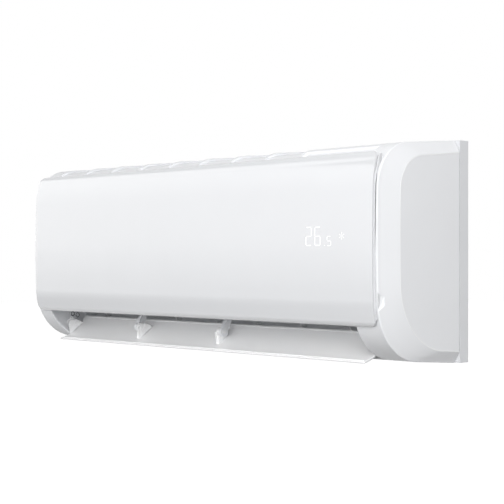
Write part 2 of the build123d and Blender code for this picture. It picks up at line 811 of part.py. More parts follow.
with BuildPart() as outlet_duct:
    # the scroll behind the fan and the floor that carries the louvres
    with BuildSketch(side_plane(duct_left)):
        with BuildLine():
            inner_scroll = ThreePointArc(scroll_top, scroll_mid, scroll_low)
            Polyline(inner_scroll @ 1, floor_end, under_end, under_start)
            outer_scroll = ThreePointArc(under_start, (scroll_mid[0] + duct_wall, scroll_mid[1]),
                                         (scroll_top[0] + duct_wall, scroll_top[1]))
            Polyline(outer_scroll @ 1, (scroll_top[0] + duct_wall, shelf_z),
                     (back_front_y, shelf_z), (back_front_y, shelf_z + duct_wall),
                     (scroll_top[0], shelf_z + duct_wall), scroll_top)
        make_face()
    extrude(amount=duct_right + duct_wall - duct_left)
    # the end walls
    for wall_x in (duct_left - duct_wall, duct_right):
        with BuildSketch(side_plane(wall_x)):
            with BuildLine():
                Polyline((back_front_y, shelf_z + 4), (pan_rear_y + 13, shelf_z + 4),
                         (pan_rear_y, shelf_z - 14), (pan_rear_y, pan_top_z),
                         (pan_front_y, pan_top_z), (pan_front_y, ceiling_end[1]), ceiling_end,
                         (pivot_y + 11.5, pivot_z + 27.3), floor_place(floor_length - 33, 2.4),
                         floor_end, under_end, under_start, (back_front_y, scroll_low[1] + 4),
                         (back_front_y, shelf_z + 4))
            make_face()
            with Locations((fan_y, fan_z)):
                Circle(20 if wall_x < 0 else shaft_radius + 4, mode=Mode.SUBTRACT)
            if wall_x < 0:
                with Locations((pan_front_y + 20, pan_top_z - 8.5)):
                    Circle(spout_bore_radius - 1, mode=Mode.SUBTRACT)
        extrude(amount=duct_wall)
    # the blank end beside the fan: its floor, its ceiling and the plate that shuts it
    with BuildSketch(side_plane(duct_right + duct_wall)):
        with BuildLine():
            Polyline(floor_place(blank_run, 0), floor_end, under_end,
                     floor_place(blank_run, -duct_wall), floor_place(blank_run, 0))
        make_face()
        with BuildLine():
            Polyline(tongue, ceiling_end, (pan_front_y, ceiling_end[1]),
                     (pan_front_y, ceiling_end[1] + 3.5), (ceiling_end[0] - 1, ceiling_end[1] + 3.5),
                     (tongue[0] - 1, tongue[1] + 3.5), (tongue[0] + 2, tongue[1] + 3),
                     floor_place(blank_run - 3, 0), floor_place(blank_run - 3, -duct_wall),
                     floor_place(blank_run, -duct_wall), floor_place(blank_run, 0), tongue)
        make_face()
    extrude(amount=cheek_right_wall - duct_right - duct_wall)
    # the duct stays clear of the casing's skin
    with BuildSketch(side_plane(duct_left - duct_wall)):
        with BuildLine():
            casing.draw(-5)
        make_face()
        with BuildLine():
            casing.draw(shell_wall + seat_gap)
        make_face(mode=Mode.SUBTRACT)
    extrude(amount=cheek_right_wall - duct_left + duct_wall, mode=Mode.SUBTRACT)
    # the holes for the louvres' pins
    for louvre in range(louvre_count):
        louvre_x = louvre_first_x + louvre * louvre_pitch
        hole_y, hole_z = floor_place(louvre_run, 1)
        with BuildSketch(Plane(origin=(louvre_x, hole_y, hole_z), x_dir=(1, 0, 0),
                               z_dir=(0, -flow_z, flow_y))):
            Circle(louvre_pin_radius + running_gap)
        extrude(amount=duct_wall + 2, mode=Mode.SUBTRACT)
save(outlet_duct, "outlet_duct")

# ---------------------------------------------------------------- the louvres and their links


def louvre_plane(x):
    """Side plane at a louvre's foot: its own X runs back up the floor, its Y stands off it."""
    foot_y, foot_z = floor_place(louvre_run, 0)
    return Plane(origin=(x, foot_y, foot_z), x_dir=(0, -flow_y, -flow_z), z_dir=(1, 0, 0))


def post(x, back, low, high, radius):
    """Round post square to the floor, a distance back from the louvre's foot."""
    foot_y, foot_z = floor_place(louvre_run - back, low)
    with BuildPart() as rod:
        with BuildSketch(Plane(origin=(x, foot_y, foot_z), x_dir=(1, 0, 0),
                               z_dir=(0, flow_z, -flow_y))):
            Circle(radius)
        extrude(amount=high - low)
    return rod.part


notch_half = link_thick / 2 + link_play
notch_front = link_arm - link_width / 2 - 0.8

for louvre in range(louvre_count):
    louvre_x = louvre_first_x + louvre * louvre_pitch
    with BuildPart() as louvre_blade:
        with BuildSketch(louvre_plane(louvre_x - louvre_thick / 2)):
            with BuildLine():
                Polyline((-louvre_front, louvre_floor_gap), (louvre_back, louvre_floor_gap),
                         (louvre_back, link_level - notch_half), (notch_front, link_level - notch_half),
                         (notch_front, link_level + notch_half),
                         (louvre_back, link_level + notch_half), (louvre_back, louvre_back_height),
                         (4, louvre_height), (-louvre_front, louvre_height),
                         (-louvre_front, louvre_floor_gap))
            make_face()
        extrude(amount=louvre_thick)
        add(post(louvre_x, 0, -louvre_pin_sink, louvre_floor_gap + 3, louvre_pin_radius))
        add(post(louvre_x, link_arm, link_level - notch_half - 0.5, link_level + notch_half + 0.5,
                 link_pin_radius))
    save(louvre_blade, f"louvre_{louvre + 1}")

groups = (("link_bar_left", 0, left_louvre_count),
          ("link_bar_right", left_louvre_count, louvre_count))
pin_drift = link_arm * (1 - math.cos(math.radians(louvre_swing)))
for name, first, last in groups:
    bar_left = louvre_first_x + first * louvre_pitch - link_overhang
    bar_right = louvre_first_x + (last - 1) * louvre_pitch + link_overhang
    bar_y, bar_z = floor_place(louvre_run - link_arm, link_level - link_thick / 2)
    with BuildPart() as link_bar:
        with BuildSketch(Plane(origin=(0, bar_y, bar_z), x_dir=(1, 0, 0),
                               z_dir=(0, flow_z, -flow_y))):
            with Locations(((bar_left + bar_right) / 2, 0)):
                Rectangle(bar_right - bar_left, link_width)
            for louvre in range(first, last):
                louvre_x = louvre_first_x + louvre * louvre_pitch
                with Locations((louvre_x, -pin_drift / 2)):
                    Rectangle(2 * (link_pin_radius + link_play),
                              2 * (link_pin_radius + link_play) + pin_drift, mode=Mode.SUBTRACT)
        extrude(amount=link_thick)
    save(link_bar, name)

# ---------------------------------------------------------------- the fan and its drive

fan_inner_radius = fan_radius - fan_blade_depth
blade_turn = math.degrees(fan_blade_thick / fan_radius)


def fan_point(angle, radius):
    """Point about the fan's axis in the side view."""
    return (fan_y + radius * math.cos(math.radians(angle)),
            fan_z + radius * math.sin(math.radians(angle)))


def blade_arc(angle):
    """Curved line of one side of a blade."""
    return ThreePointArc(fan_point(angle, fan_inner_radius), fan_point(angle + 1, fan_radius - 5),
                         fan_point(angle + 6, fan_radius))


with BuildPart() as cross_flow_fan:
    with BuildSketch(side_plane(fan_left)):
        for blade in range(fan_blade_count):
            blade_angle = blade * 360 / fan_blade_count
            with BuildLine():
                near = blade_arc(blade_angle)
                far = blade_arc(blade_angle + blade_turn)
                Line(near @ 0, far @ 0)
                Line(near @ 1, far @ 1)
            make_face()
    extrude(amount=fan_right - fan_left)
    ring_span = (fan_right - fan_left - fan_ring_thick) / (fan_ring_count + 1)
    for ring in range(fan_ring_count + 2):
        with BuildSketch(side_plane(fan_left + ring * ring_span)):
            with Locations((fan_y, fan_z)):
                Circle(fan_radius)
                if 0 < ring < fan_ring_count + 1:
                    Circle(fan_inner_radius, mode=Mode.SUBTRACT)
        extrude(amount=fan_ring_thick)
    # the hub that grips the shaft, and the stub at the other end
    with BuildSketch(side_plane(fan_right)):
        with Locations((fan_y, fan_z)):
            Circle(shaft_radius + 5)
    extrude(amount=hub_length)
    with BuildSketch(side_plane(fan_right - fan_ring_thick)):
        with Locations((fan_y, fan_z)):
            Circle(shaft_radius + running_gap)
    extrude(amount=hub_length + fan_ring_thick, mode=Mode.SUBTRACT)
    with BuildSketch(side_plane(bearing_left)):
        with Locations((fan_y, fan_z)):
            Circle(stub_shaft_radius)
    extrude(amount=fan_left - bearing_left)
save(cross_flow_fan, "cross_flow_fan")

with BuildPart() as fan_shaft:
    with BuildSketch(side_plane(fan_right - fan_ring_thick)):
        with Locations((fan_y, fan_z)):
            Circle(shaft_radius)
    extrude(amount=motor_left + motor_length - 6 - fan_right + fan_ring_thick)
save(fan_shaft, "fan_shaft")

with BuildPart() as fan_bearing:
    with BuildSketch(side_plane(bearing_left)):
        with Locations((fan_y, fan_z)):
            Circle(bearing_radius)
            Circle(stub_shaft_radius + running_gap, mode=Mode.SUBTRACT)
    extrude(amount=bearing_length)
    fillet(edges().filter_by(GeomType.CIRCLE).group_by(SortBy.RADIUS)[-1], 1.2)
save(fan_bearing, "fan_bearing")

holder_x = duct_left - duct_wall

with BuildPart() as bearing_holder:
    with BuildSketch(side_plane(holder_x - 2.5)):
        with Locations((fan_y, fan_z)):
            Circle(25)
            Circle(bearing_radius + running_gap, mode=Mode.SUBTRACT)
    extrude(amount=2.5)
    with BuildSketch(side_plane(bearing_left)):
        with Locations((fan_y, fan_z)):
            Circle(bearing_radius + 2.5)
            Circle(bearing_radius + running_gap, mode=Mode.SUBTRACT)
    extrude(amount=holder_x - bearing_left)
save(bearing_holder, "bearing_holder")

with BuildPart() as fan_motor:
    with BuildSketch(side_plane(motor_left)):
        with Locations((fan_y, fan_z)):
            Circle(motor_radius)
    extrude(amount=motor_length)
    fillet(edges().filter_by(GeomType.CIRCLE), 5)
    with BuildSketch(side_plane(motor_left - 3)):
        with Locations((fan_y, fan_z)):
            Circle(motor_hub_radius)
    extrude(amount=3)
    with BuildSketch(side_plane(motor_left - 3)):
        with Locations((fan_y, fan_z)):
            Circle(shaft_radius + running_gap)
    extrude(amount=motor_length - 2, mode=Mode.SUBTRACT)
save(fan_motor, "fan_motor")

clamp_x = motor_left + 6 + (saddle_length - clamp_width) / 2
clamp_inner = motor_radius + running_gap
clamp_reach = motor_radius + clamp_wall

with BuildPart() as motor_clamp:
    with BuildSketch(side_plane(clamp_x)):
        with Locations((fan_y, fan_z)):
            Circle(clamp_reach)
        with Locations((saddle_front_y - clamp_wall / 2, fan_z)):
            Rectangle(clamp_wall, 2 * (motor_radius + 6))
        with Locations((fan_y, fan_z)):
            Circle(clamp_inner, mode=Mode.SUBTRACT)
        with Locations((saddle_front_y + 60, fan_z)):
            Rectangle(120, 120, mode=Mode.SUBTRACT)
    extrude(amount=clamp_width)
save(motor_clamp, "motor_clamp")

# ---------------------------------------------------------------- the heat exchanger

lower_coil_y = coil_front_y + coil_thick / 2
coil_sections = (("coil_rear", rear_coil_start, rear_coil_end),
                 ("coil_upper", upper_coil_start, upper_coil_end),
                 ("coil_lower", (lower_coil_y, lower_coil_bottom), (lower_coil_y, lower_coil_top)))


def tube_places(start, end):
    """Centres of the tubes that lie along a coil's middle line, from its start to its end."""
    length = math.dist(start, end)
    count = int((length - tube_pitch) / tube_pitch + 1.04)
    first = (length - (count - 1) * tube_pitch) / 2
    return [tuple(a + (b - a) * (first + tube * tube_pitch) / length for a, b in zip(start, end))
            for tube in range(count)]


def coil_face(start, end, margin):
    """Outline of a coil's end, drawn a margin larger, in the sketch that is open."""
    length = math.dist(start, end)
    lean = math.degrees(math.atan2(end[1] - start[1], end[0] - start[0]))
    with Locations(Location(((start[0] + end[0]) / 2, (start[1] + end[1]) / 2, 0), (0, 0, 1), lean)):
        Rectangle(length + 2 * margin, coil_thick + 2 * margin)


circuit = []
for name, start, end in coil_sections:
    places = tube_places(start, end)
    circuit += reversed(places)
    with BuildPart() as fin_block:
        with BuildSketch(side_plane(coil_left)):
            coil_face(start, end, 0)
            with Locations(*places):
                Circle(tube_radius + running_gap, mode=Mode.SUBTRACT)
        extrude(amount=coil_right - coil_left)
    save(fin_block, name)

knees = (((lower_coil_y + upper_coil_start[0]) / 2, (lower_coil_top + upper_coil_start[1]) / 2),
         ((upper_coil_end[0] + rear_coil_start[0]) / 2, (upper_coil_end[1] + rear_coil_start[1]) / 2))

for name, sheet_x in (("end_plate_left", coil_left - end_sheet), ("end_plate_right", coil_right)):
    with BuildPart() as end_plate:
        with BuildSketch(side_plane(sheet_x)):
            for _, start, end in coil_sections:
                coil_face(start, end, 1)
            with Locations(*knees):
                Circle(coil_thick / 2)
            wall_rectangle(rear_coil_end[0] - 8, rear_coil_end[1] + 4, back_front_y,
                           rear_coil_end[1] + 18)
            with Locations(*circuit):
                Circle(tube_radius + running_gap, mode=Mode.SUBTRACT)
        extrude(amount=end_sheet)
    save(end_plate, name)

left_face = coil_left - end_sheet
right_face = coil_right + end_sheet

with BuildPart() as coil_tubes:
    with BuildSketch(side_plane(left_face)):
        with Locations(*circuit):
            Circle(tube_radius)
    extrude(amount=right_face - left_face)
    # the hairpin bends join each tube to the next, at the two ends in turn
    for number, (here, there) in enumerate(zip(circuit, circuit[1:])):
        face_x = right_face if number % 2 else left_face
        reach_x = face_x + bend_reach * (1 if number % 2 else -1)
        with BuildLine() as bend:
            FilletPolyline((face_x, *here), (reach_x, *here), (reach_x, *there), (face_x, *there),
                           radius=bend_radius)
        with BuildSketch(Plane(origin=(face_x, *here), z_dir=(reach_x - face_x, 0, 0))):
            Circle(tube_radius)
        sweep(path=bend.wires()[0])
save(coil_tubes, "coil_tubes")

# ---------------------------------------------------------------- the pipework

gas_start = circuit[0]
liquid_start = circuit[-1]
liquid_step_x = right_face + liquid_step
liquid_turn_y = liquid_start[0] + liquid_turn_back
over_duct_z = shelf_z + liquid_over_duct
pipe_end_y = union_rear_y - thread_length - nut_length

with BuildPart() as gas_pipe:
    with BuildLine() as gas_route:
        FilletPolyline((right_face, *gas_start), (pipe_drop_x, *gas_start),
                       (pipe_drop_x, gas_lane_y, gas_start[1]),
                       (pipe_drop_x, gas_lane_y, gas_run_z), (gas_step_x, gas_lane_y, gas_run_z),
                       (gas_step_x, gas_end_lane_y, gas_run_z),
                       (gas_end_x, gas_end_lane_y, gas_run_z), (gas_end_x, pipe_end_y, gas_run_z),
                       radius=gas_bend_radius)
    with BuildSketch(Plane(origin=(right_face, *gas_start), z_dir=(1, 0, 0))):
        Circle(gas_pipe_radius)
    sweep(path=gas_route.wires()[0])
save(gas_pipe, "gas_pipe")

with BuildPart() as liquid_pipe:
    with BuildLine() as liquid_route:
        FilletPolyline((right_face, *liquid_start), (liquid_step_x, *liquid_start),
                       (liquid_step_x, liquid_turn_y, liquid_start[1]),
                       (liquid_step_x, liquid_turn_y, over_duct_z),
                       (liquid_step_x, liquid_lane_y, over_duct_z),
                       (pipe_drop_x, liquid_lane_y, over_duct_z),
                       (pipe_drop_x, liquid_lane_y, liquid_run_z),
                       (pipe_drop_x, liquid_end_lane_y, liquid_run_z),
                       (liquid_end_x, liquid_end_lane_y, liquid_run_z),
                       (liquid_end_x, pipe_end_y, liquid_run_z), radius=liquid_bend_radius)
    with BuildSketch(Plane(origin=(right_face, *liquid_start), z_dir=(1, 0, 0))):
        Circle(liquid_pipe_radius)
    sweep(path=liquid_route.wires()[0])
save(liquid_pipe, "liquid_pipe")

with BuildPart() as pipe_unions:
    for end_x, run_z, pipe, thread in (
            (gas_end_x, gas_run_z, gas_pipe_radius, gas_thread_radius),
            (liquid_end_x, liquid_run_z, liquid_pipe_radius, liquid_thread_radius)):
        with BuildSketch(Plane.XZ.offset(-union_rear_y + thread_length)):
            with Locations((end_x, run_z)):
                RegularPolygon(thread + 1.2, 6, major_radius=False)
        extrude(amount=nut_length)
        with BuildSketch(Plane.XZ.offset(-union_rear_y)):
            with Locations((end_x, run_z)):
                Circle(thread)
        extrude(amount=thread_length)
        with BuildSketch(Plane.XZ.offset(-union_rear_y)):
            with Locations((end_x, run_z)):
                Circle(pipe - pipe_wall)
        extrude(amount=thread_length + nut_length / 2, mode=Mode.SUBTRACT)
save(pipe_unions, "pipe_unions")

drain_y = pan_front_y + 20
drain_z = pan_top_z - 8.5

with BuildPart() as drain_spout:
    with BuildLine() as drain_route:
        FilletPolyline((holder_x, drain_y, drain_z), (drain_lane_x, drain_y, drain_z),
                       (drain_lane_x, spout_y, drain_z), (drain_lane_x, spout_y, spout_z),
                       (drain_lane_x, spout_tip_y, spout_z), radius=drain_bend_radius)
    with BuildSketch(Plane(origin=(holder_x, drain_y, drain_z), z_dir=(-1, 0, 0))):
        Circle(spout_radius)
        Circle(spout_bore_radius, mode=Mode.SUBTRACT)
    sweep(path=drain_route.wires()[0])
save(drain_spout, "drain_spout")

# ---------------------------------------------------------------- the filters

filter_foot = (filter_y, filter_bottom_z)
filter_lean = math.atan2(filter_top[1] - filter_knee[1], filter_top[0] - filter_knee[0])


def filter_strip(thick):
    """Outline of the bent filter seen from the side, in the line context that is open."""
    half = thick / 2
    knee_half = half / math.cos((math.pi / 2 - filter_lean) / 2)
    knee_way = (math.pi / 2 + filter_lean) / 2 + math.pi / 2
    knee_y = knee_half * math.cos(knee_way)
    knee_z = knee_half * math.sin(knee_way)
    top_y = half * math.cos(filter_lean + math.pi / 2)
    top_z = half * math.sin(filter_lean + math.pi / 2)
    Polyline((filter_foot[0] - half, filter_foot[1]),
             (filter_knee[0] + knee_y, filter_knee[1] + knee_z),
             (filter_top[0] + top_y, filter_top[1] + top_z),
             (filter_top[0] - top_y, filter_top[1] - top_z),
             (filter_knee[0] - knee_y, filter_knee[1] - knee_z),
             (filter_foot[0] + half, filter_foot[1]), (filter_foot[0] - half, filter_foot[1]))


filter_spans = (("filter_left", filter_left, filter_split_x - filter_split_gap / 2),
                ("filter_right", filter_split_x + filter_split_gap / 2, filter_right))
for name, first_x, last_x in filter_spans:
    with BuildPart() as air_filter:
        with BuildSketch(side_plane(first_x)):
            with BuildLine():
                filter_strip(filter_mesh)
            make_face()
        extrude(amount=last_x - first_x)
        # upright rims and ribs
        for rib in range(filter_rib_count + 2):
            rib_width = filter_rim if rib in (0, filter_rib_count + 1) else filter_rib
            rib_x = first_x + (last_x - first_x - rib_width) * rib / (filter_rib_count + 1)
            with BuildSketch(side_plane(rib_x)):
                with BuildLine():
                    filter_strip(filter_thick)
                make_face()
            extrude(amount=rib_width)
        # rims and ribs across
        with BuildSketch(side_plane(first_x)):
            with BuildLine():
                filter_strip(filter_thick)
            make_face()
            knee_gap = (filter_knee[1] - filter_bottom_z - filter_rim) / 2
            for gap in range(2):
                gap_low = filter_bottom_z + filter_rim + gap * knee_gap
                with Locations((filter_y, gap_low + (knee_gap - filter_rib) / 2)):
                    Rectangle(6, knee_gap - filter_rib, mode=Mode.SUBTRACT)
            slope_length = math.dist(filter_knee, filter_top) - filter_rim - filter_rib
            slope_mid = filter_rib + slope_length / 2
            with Locations(Location((filter_knee[0] + slope_mid * math.cos(filter_lean),
                                     filter_knee[1] + slope_mid * math.sin(filter_lean), 0),
                                    (0, 0, 1), math.degrees(filter_lean))):
                Rectangle(slope_length, 6, mode=Mode.SUBTRACT)
        extrude(amount=last_x - first_x)
    save(air_filter, name)

# ---------------------------------------------------------------- the electrics

with BuildPart() as control_box:
    with BuildSketch(side_plane(box_left)):
        wall_rectangle(box_front_y, box_bottom_z, back_front_y, box_top_z)
    extrude(amount=box_right - box_left)
    with BuildSketch(side_plane(box_left + box_wall)):
        wall_rectangle(box_front_y - 1, box_bottom_z + box_wall, back_front_y - box_wall,
                       box_top_z - box_wall)
    extrude(amount=box_right - box_left - 2 * box_wall, mode=Mode.SUBTRACT)
save(control_box, "control_box")

board_x = box_left + box_wall + 5
board_front_y = box_front_y + 8
board_rear_y = back_front_y - 8

with BuildPart() as control_board:
    with BuildSketch(side_plane(board_x)):
        wall_rectangle(board_front_y, box_bottom_z + 8, board_rear_y, box_top_z - 8)
    extrude(amount=board_thick)
    for peg_y in (board_front_y + 6, board_rear_y - 6):
        for peg_z in (box_bottom_z + 14, box_top_z - 14):
            with BuildSketch(side_plane(box_left + box_wall)):
                with Locations((peg_y, peg_z)):
                    Circle(3)
            extrude(amount=board_x - box_left - box_wall)
    with BuildSketch(side_plane(board_x + board_thick)):
        with Locations((board_front_y + 30, box_top_z - 34)):
            Rectangle(26, 30)
    extrude(amount=18)
    with BuildSketch(side_plane(board_x + board_thick)):
        with Locations((board_front_y + 60, box_bottom_z + 40)):
            Circle(10)
        with Locations((board_front_y + 85, box_bottom_z + 40)):
            Rectangle(18, 26)
    extrude(amount=15)
save(control_board, "control_board")

with BuildPart() as box_cover:
    with BuildSketch(Plane.XZ.offset(-box_front_y)):
        with Locations(((box_left + box_right) / 2, (box_bottom_z + box_top_z) / 2)):
            Rectangle(box_right - box_left, box_top_z - box_bottom_z)
    extrude(amount=box_wall)
save(box_cover, "box_cover")

with BuildPart() as terminal_block:
    with BuildSketch(Plane.XZ.offset(-box_front_y + box_wall)):
        with Locations(((box_left + box_right) / 2 + 2, box_bottom_z + 28)):
            Rectangle(26, 38)
    extrude(amount=9)
    with BuildSketch(Plane.XZ.offset(-box_front_y + box_wall + 9)):
        with Locations(((box_left + box_right) / 2 + 2, box_bottom_z + 28)):
            with GridLocations(14, 9, 2, 4):
                Circle(2.6)
    extrude(amount=-5, mode=Mode.SUBTRACT)
save(terminal_block, "terminal_block")

module_front = casing_depth - 1.0
module_flange = casing_depth - shell_wall - 0.6

with BuildPart() as display_module:
    with BuildSketch(Plane.XZ.offset(module_flange - module_depth)):
        with Locations(((display_left + display_right) / 2, (display_top + display_bottom) / 2)):
            Rectangle(display_right - display_left, display_top - display_bottom)
    extrude(amount=module_depth)
    with BuildSketch(Plane.XZ.offset(module_flange)):
        with Locations(((display_left + display_right) / 2, (display_top + display_bottom) / 2)):
            Rectangle(display_right - display_left - 7, display_top - display_bottom - 7)
    extrude(amount=module_front - module_flange)
save(display_module, "display_module")

switch_front = casing_depth - nose_bow - shell_wall - 0.4
counterbore_depth = button_travel + button_flange + 0.9

with BuildPart() as switch_block:
    with BuildSketch(Plane.XZ.offset(-pan_front_y + seat_gap)):
        with Locations((button_x, button_z)):
            Rectangle(16, 16)
    extrude(amount=switch_front + pan_front_y - seat_gap)
    with BuildSketch(Plane.XZ.offset(switch_front)):
        with Locations((button_x, button_z)):
            Circle(button_radius + 1.5)
    extrude(amount=-counterbore_depth, mode=Mode.SUBTRACT)
save(switch_block, "switch_block")

button_front = switch_front + shell_wall + 1.2
flange_front = switch_front - 0.6

with BuildPart() as auto_button:
    with BuildSketch(Plane.XZ.offset(flange_front - button_flange)):
        with Locations((button_x, button_z)):
            Circle(button_radius + 1.1)
    extrude(amount=button_flange)
    with BuildSketch(Plane.XZ.offset(flange_front)):
        with Locations((button_x, button_z)):
            Circle(button_radius)
    extrude(amount=button_front - flange_front)
save(auto_button, "auto_button")
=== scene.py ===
"""Looks of a wall-mounted air conditioner's indoor unit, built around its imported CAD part.

Sizes are in millimetres in the row frame: X to the right, -Y towards the room, Z up, and the
wall's face at Y = 0. Meshes are scaled to metres when a piece is finished.
"""

from __future__ import annotations

import json
import logging
import math
from collections.abc import Iterable
from dataclasses import dataclass, field
from enum import Enum
from functools import cached_property

import bmesh
import bpy
from mathutils import Matrix, Vector

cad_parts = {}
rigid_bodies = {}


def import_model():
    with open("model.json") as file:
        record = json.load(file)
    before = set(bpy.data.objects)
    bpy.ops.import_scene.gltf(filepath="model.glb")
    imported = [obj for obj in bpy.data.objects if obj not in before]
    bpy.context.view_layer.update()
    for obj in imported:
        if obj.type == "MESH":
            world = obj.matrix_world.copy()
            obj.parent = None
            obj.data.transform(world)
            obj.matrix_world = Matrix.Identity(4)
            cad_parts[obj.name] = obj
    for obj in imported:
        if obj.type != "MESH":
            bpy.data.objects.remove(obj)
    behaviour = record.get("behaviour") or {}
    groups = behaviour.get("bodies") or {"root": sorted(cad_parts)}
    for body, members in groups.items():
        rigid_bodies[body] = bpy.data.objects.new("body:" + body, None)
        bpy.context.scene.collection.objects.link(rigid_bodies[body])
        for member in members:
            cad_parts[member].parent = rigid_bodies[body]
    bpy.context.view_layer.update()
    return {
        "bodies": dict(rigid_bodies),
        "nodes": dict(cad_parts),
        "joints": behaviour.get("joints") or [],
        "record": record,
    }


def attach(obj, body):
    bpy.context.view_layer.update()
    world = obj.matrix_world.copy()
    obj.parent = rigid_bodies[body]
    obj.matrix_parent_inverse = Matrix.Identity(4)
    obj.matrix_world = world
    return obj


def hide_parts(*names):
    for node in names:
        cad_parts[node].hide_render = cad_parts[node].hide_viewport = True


LOG = logging.getLogger("indoor_unit")
MM = 0.001

Point = tuple[float, float]
Triple = tuple[float, float, float]
Place = Triple | Vector
Mesh = bmesh.types.BMesh
Verts = list[bmesh.types.BMVert]
Edges = list[bmesh.types.BMEdge]
Socket = bpy.types.NodeSocket
Value = float | tuple[float, ...] | Socket
Lamp = tuple[str, Triple, Triple, float, float, float]


# ------------------------------------------------------------------------------ finishes


class Grain(Enum):
    """How a surface is textured."""

    MOULDED = "fine pebbled grain of a spark-eroded mould"
    POLISHED = "broad, very shallow waves of a polished moulding"
    DRAWN = "fine lines along X, from drawing or grinding"
    SPANGLE = "crystals of hot-dip zinc"
    ROLLED = "faint lines across X, of rolled foil"
    TRACES = "right-angled copper lines under green lacquer"


GRAIN_CELLS: dict[Grain, Triple] = {
    Grain.MOULDED: (1400.0, 1400.0, 1400.0),
    Grain.POLISHED: (90.0, 90.0, 90.0),
    Grain.DRAWN: (6.0, 1800.0, 1800.0),
    Grain.ROLLED: (2500.0, 40.0, 40.0),
}


@dataclass(frozen=True)
class Graph:
    """A node tree, and short ways to fill it."""

    tree: bpy.types.NodeTree

    @staticmethod
    def material(name: str) -> tuple[bpy.types.Material, Graph]:
        """Makes a material with the standard shader.

        Args:
            name: its name.

        Returns:
            The material and its graph.
        """
        material = bpy.data.materials.new(name)
        material.use_nodes = True
        return material, Graph(material.node_tree)

    def add(self, kind: str, inputs: dict[str | int, Value] | None = None,
            **settings: str | int | bool) -> bpy.types.Node:
        """Adds a node.

        Args:
            kind: the node's type, without its prefix.
            inputs: what goes into its sockets.
            settings: what is set on the node itself.

        Returns:
            The new node.
        """
        node = self.tree.nodes.new(f"ShaderNode{kind}")
        for name, value in settings.items():
            setattr(node, name, value)
        self.feed(node, inputs or {})
        return node

    def feed(self, node: bpy.types.Node, inputs: dict[str | int, Value]) -> None:
        """Links or sets sockets of a node.

        Args:
            node: the node.
            inputs: another node's output or a plain value, by the socket's name or number.
        """
        for name, value in inputs.items():
            if isinstance(value, Socket):
                self.tree.links.new(value, node.inputs[name])
            else:
                node.inputs[name].default_value = value

    def noise(self, place: Socket, cells: Triple, detail: float) -> Socket:
        """Noise from 0 to 1, with a number of cells to the metre on each axis."""
        scaled = self.add("Mapping", {"Scale": cells, "Vector": place}).outputs["Vector"]
        return self.add("TexNoise", {"Scale": 1.0, "Detail": detail, "Vector": scaled}).outputs["Fac"]

    def mapped(self, value: Socket, low: float, high: float, start: float = 0.25,
               end: float = 0.75) -> Socket:
        """A value mapped from start..end to low..high."""
        limits = {"From Min": start, "From Max": end, "To Min": low, "To Max": high}
        return self.add("MapRange", {**limits, "Value": value}).outputs["Result"]

    def ramp(self, value: Socket, first: Triple, last: Triple, start: float = 0.0,
             end: float = 1.0) -> Socket:
        """Runs between two colours.

        Args:
            value: what drives the ramp.
            first: colour up to the start.
            last: colour from the end on.
            start: value at which the ramp leaves the first colour.
            end: value at which it reaches the last one.

        Returns:
            The colour.
        """
        node = self.add("ValToRGB", {"Fac": value})
        for stop, at, colour in zip(node.color_ramp.elements, (start, end), (first, last)):
            stop.position = at
            stop.color = (*colour, 1.0)
        return node.outputs["Color"]


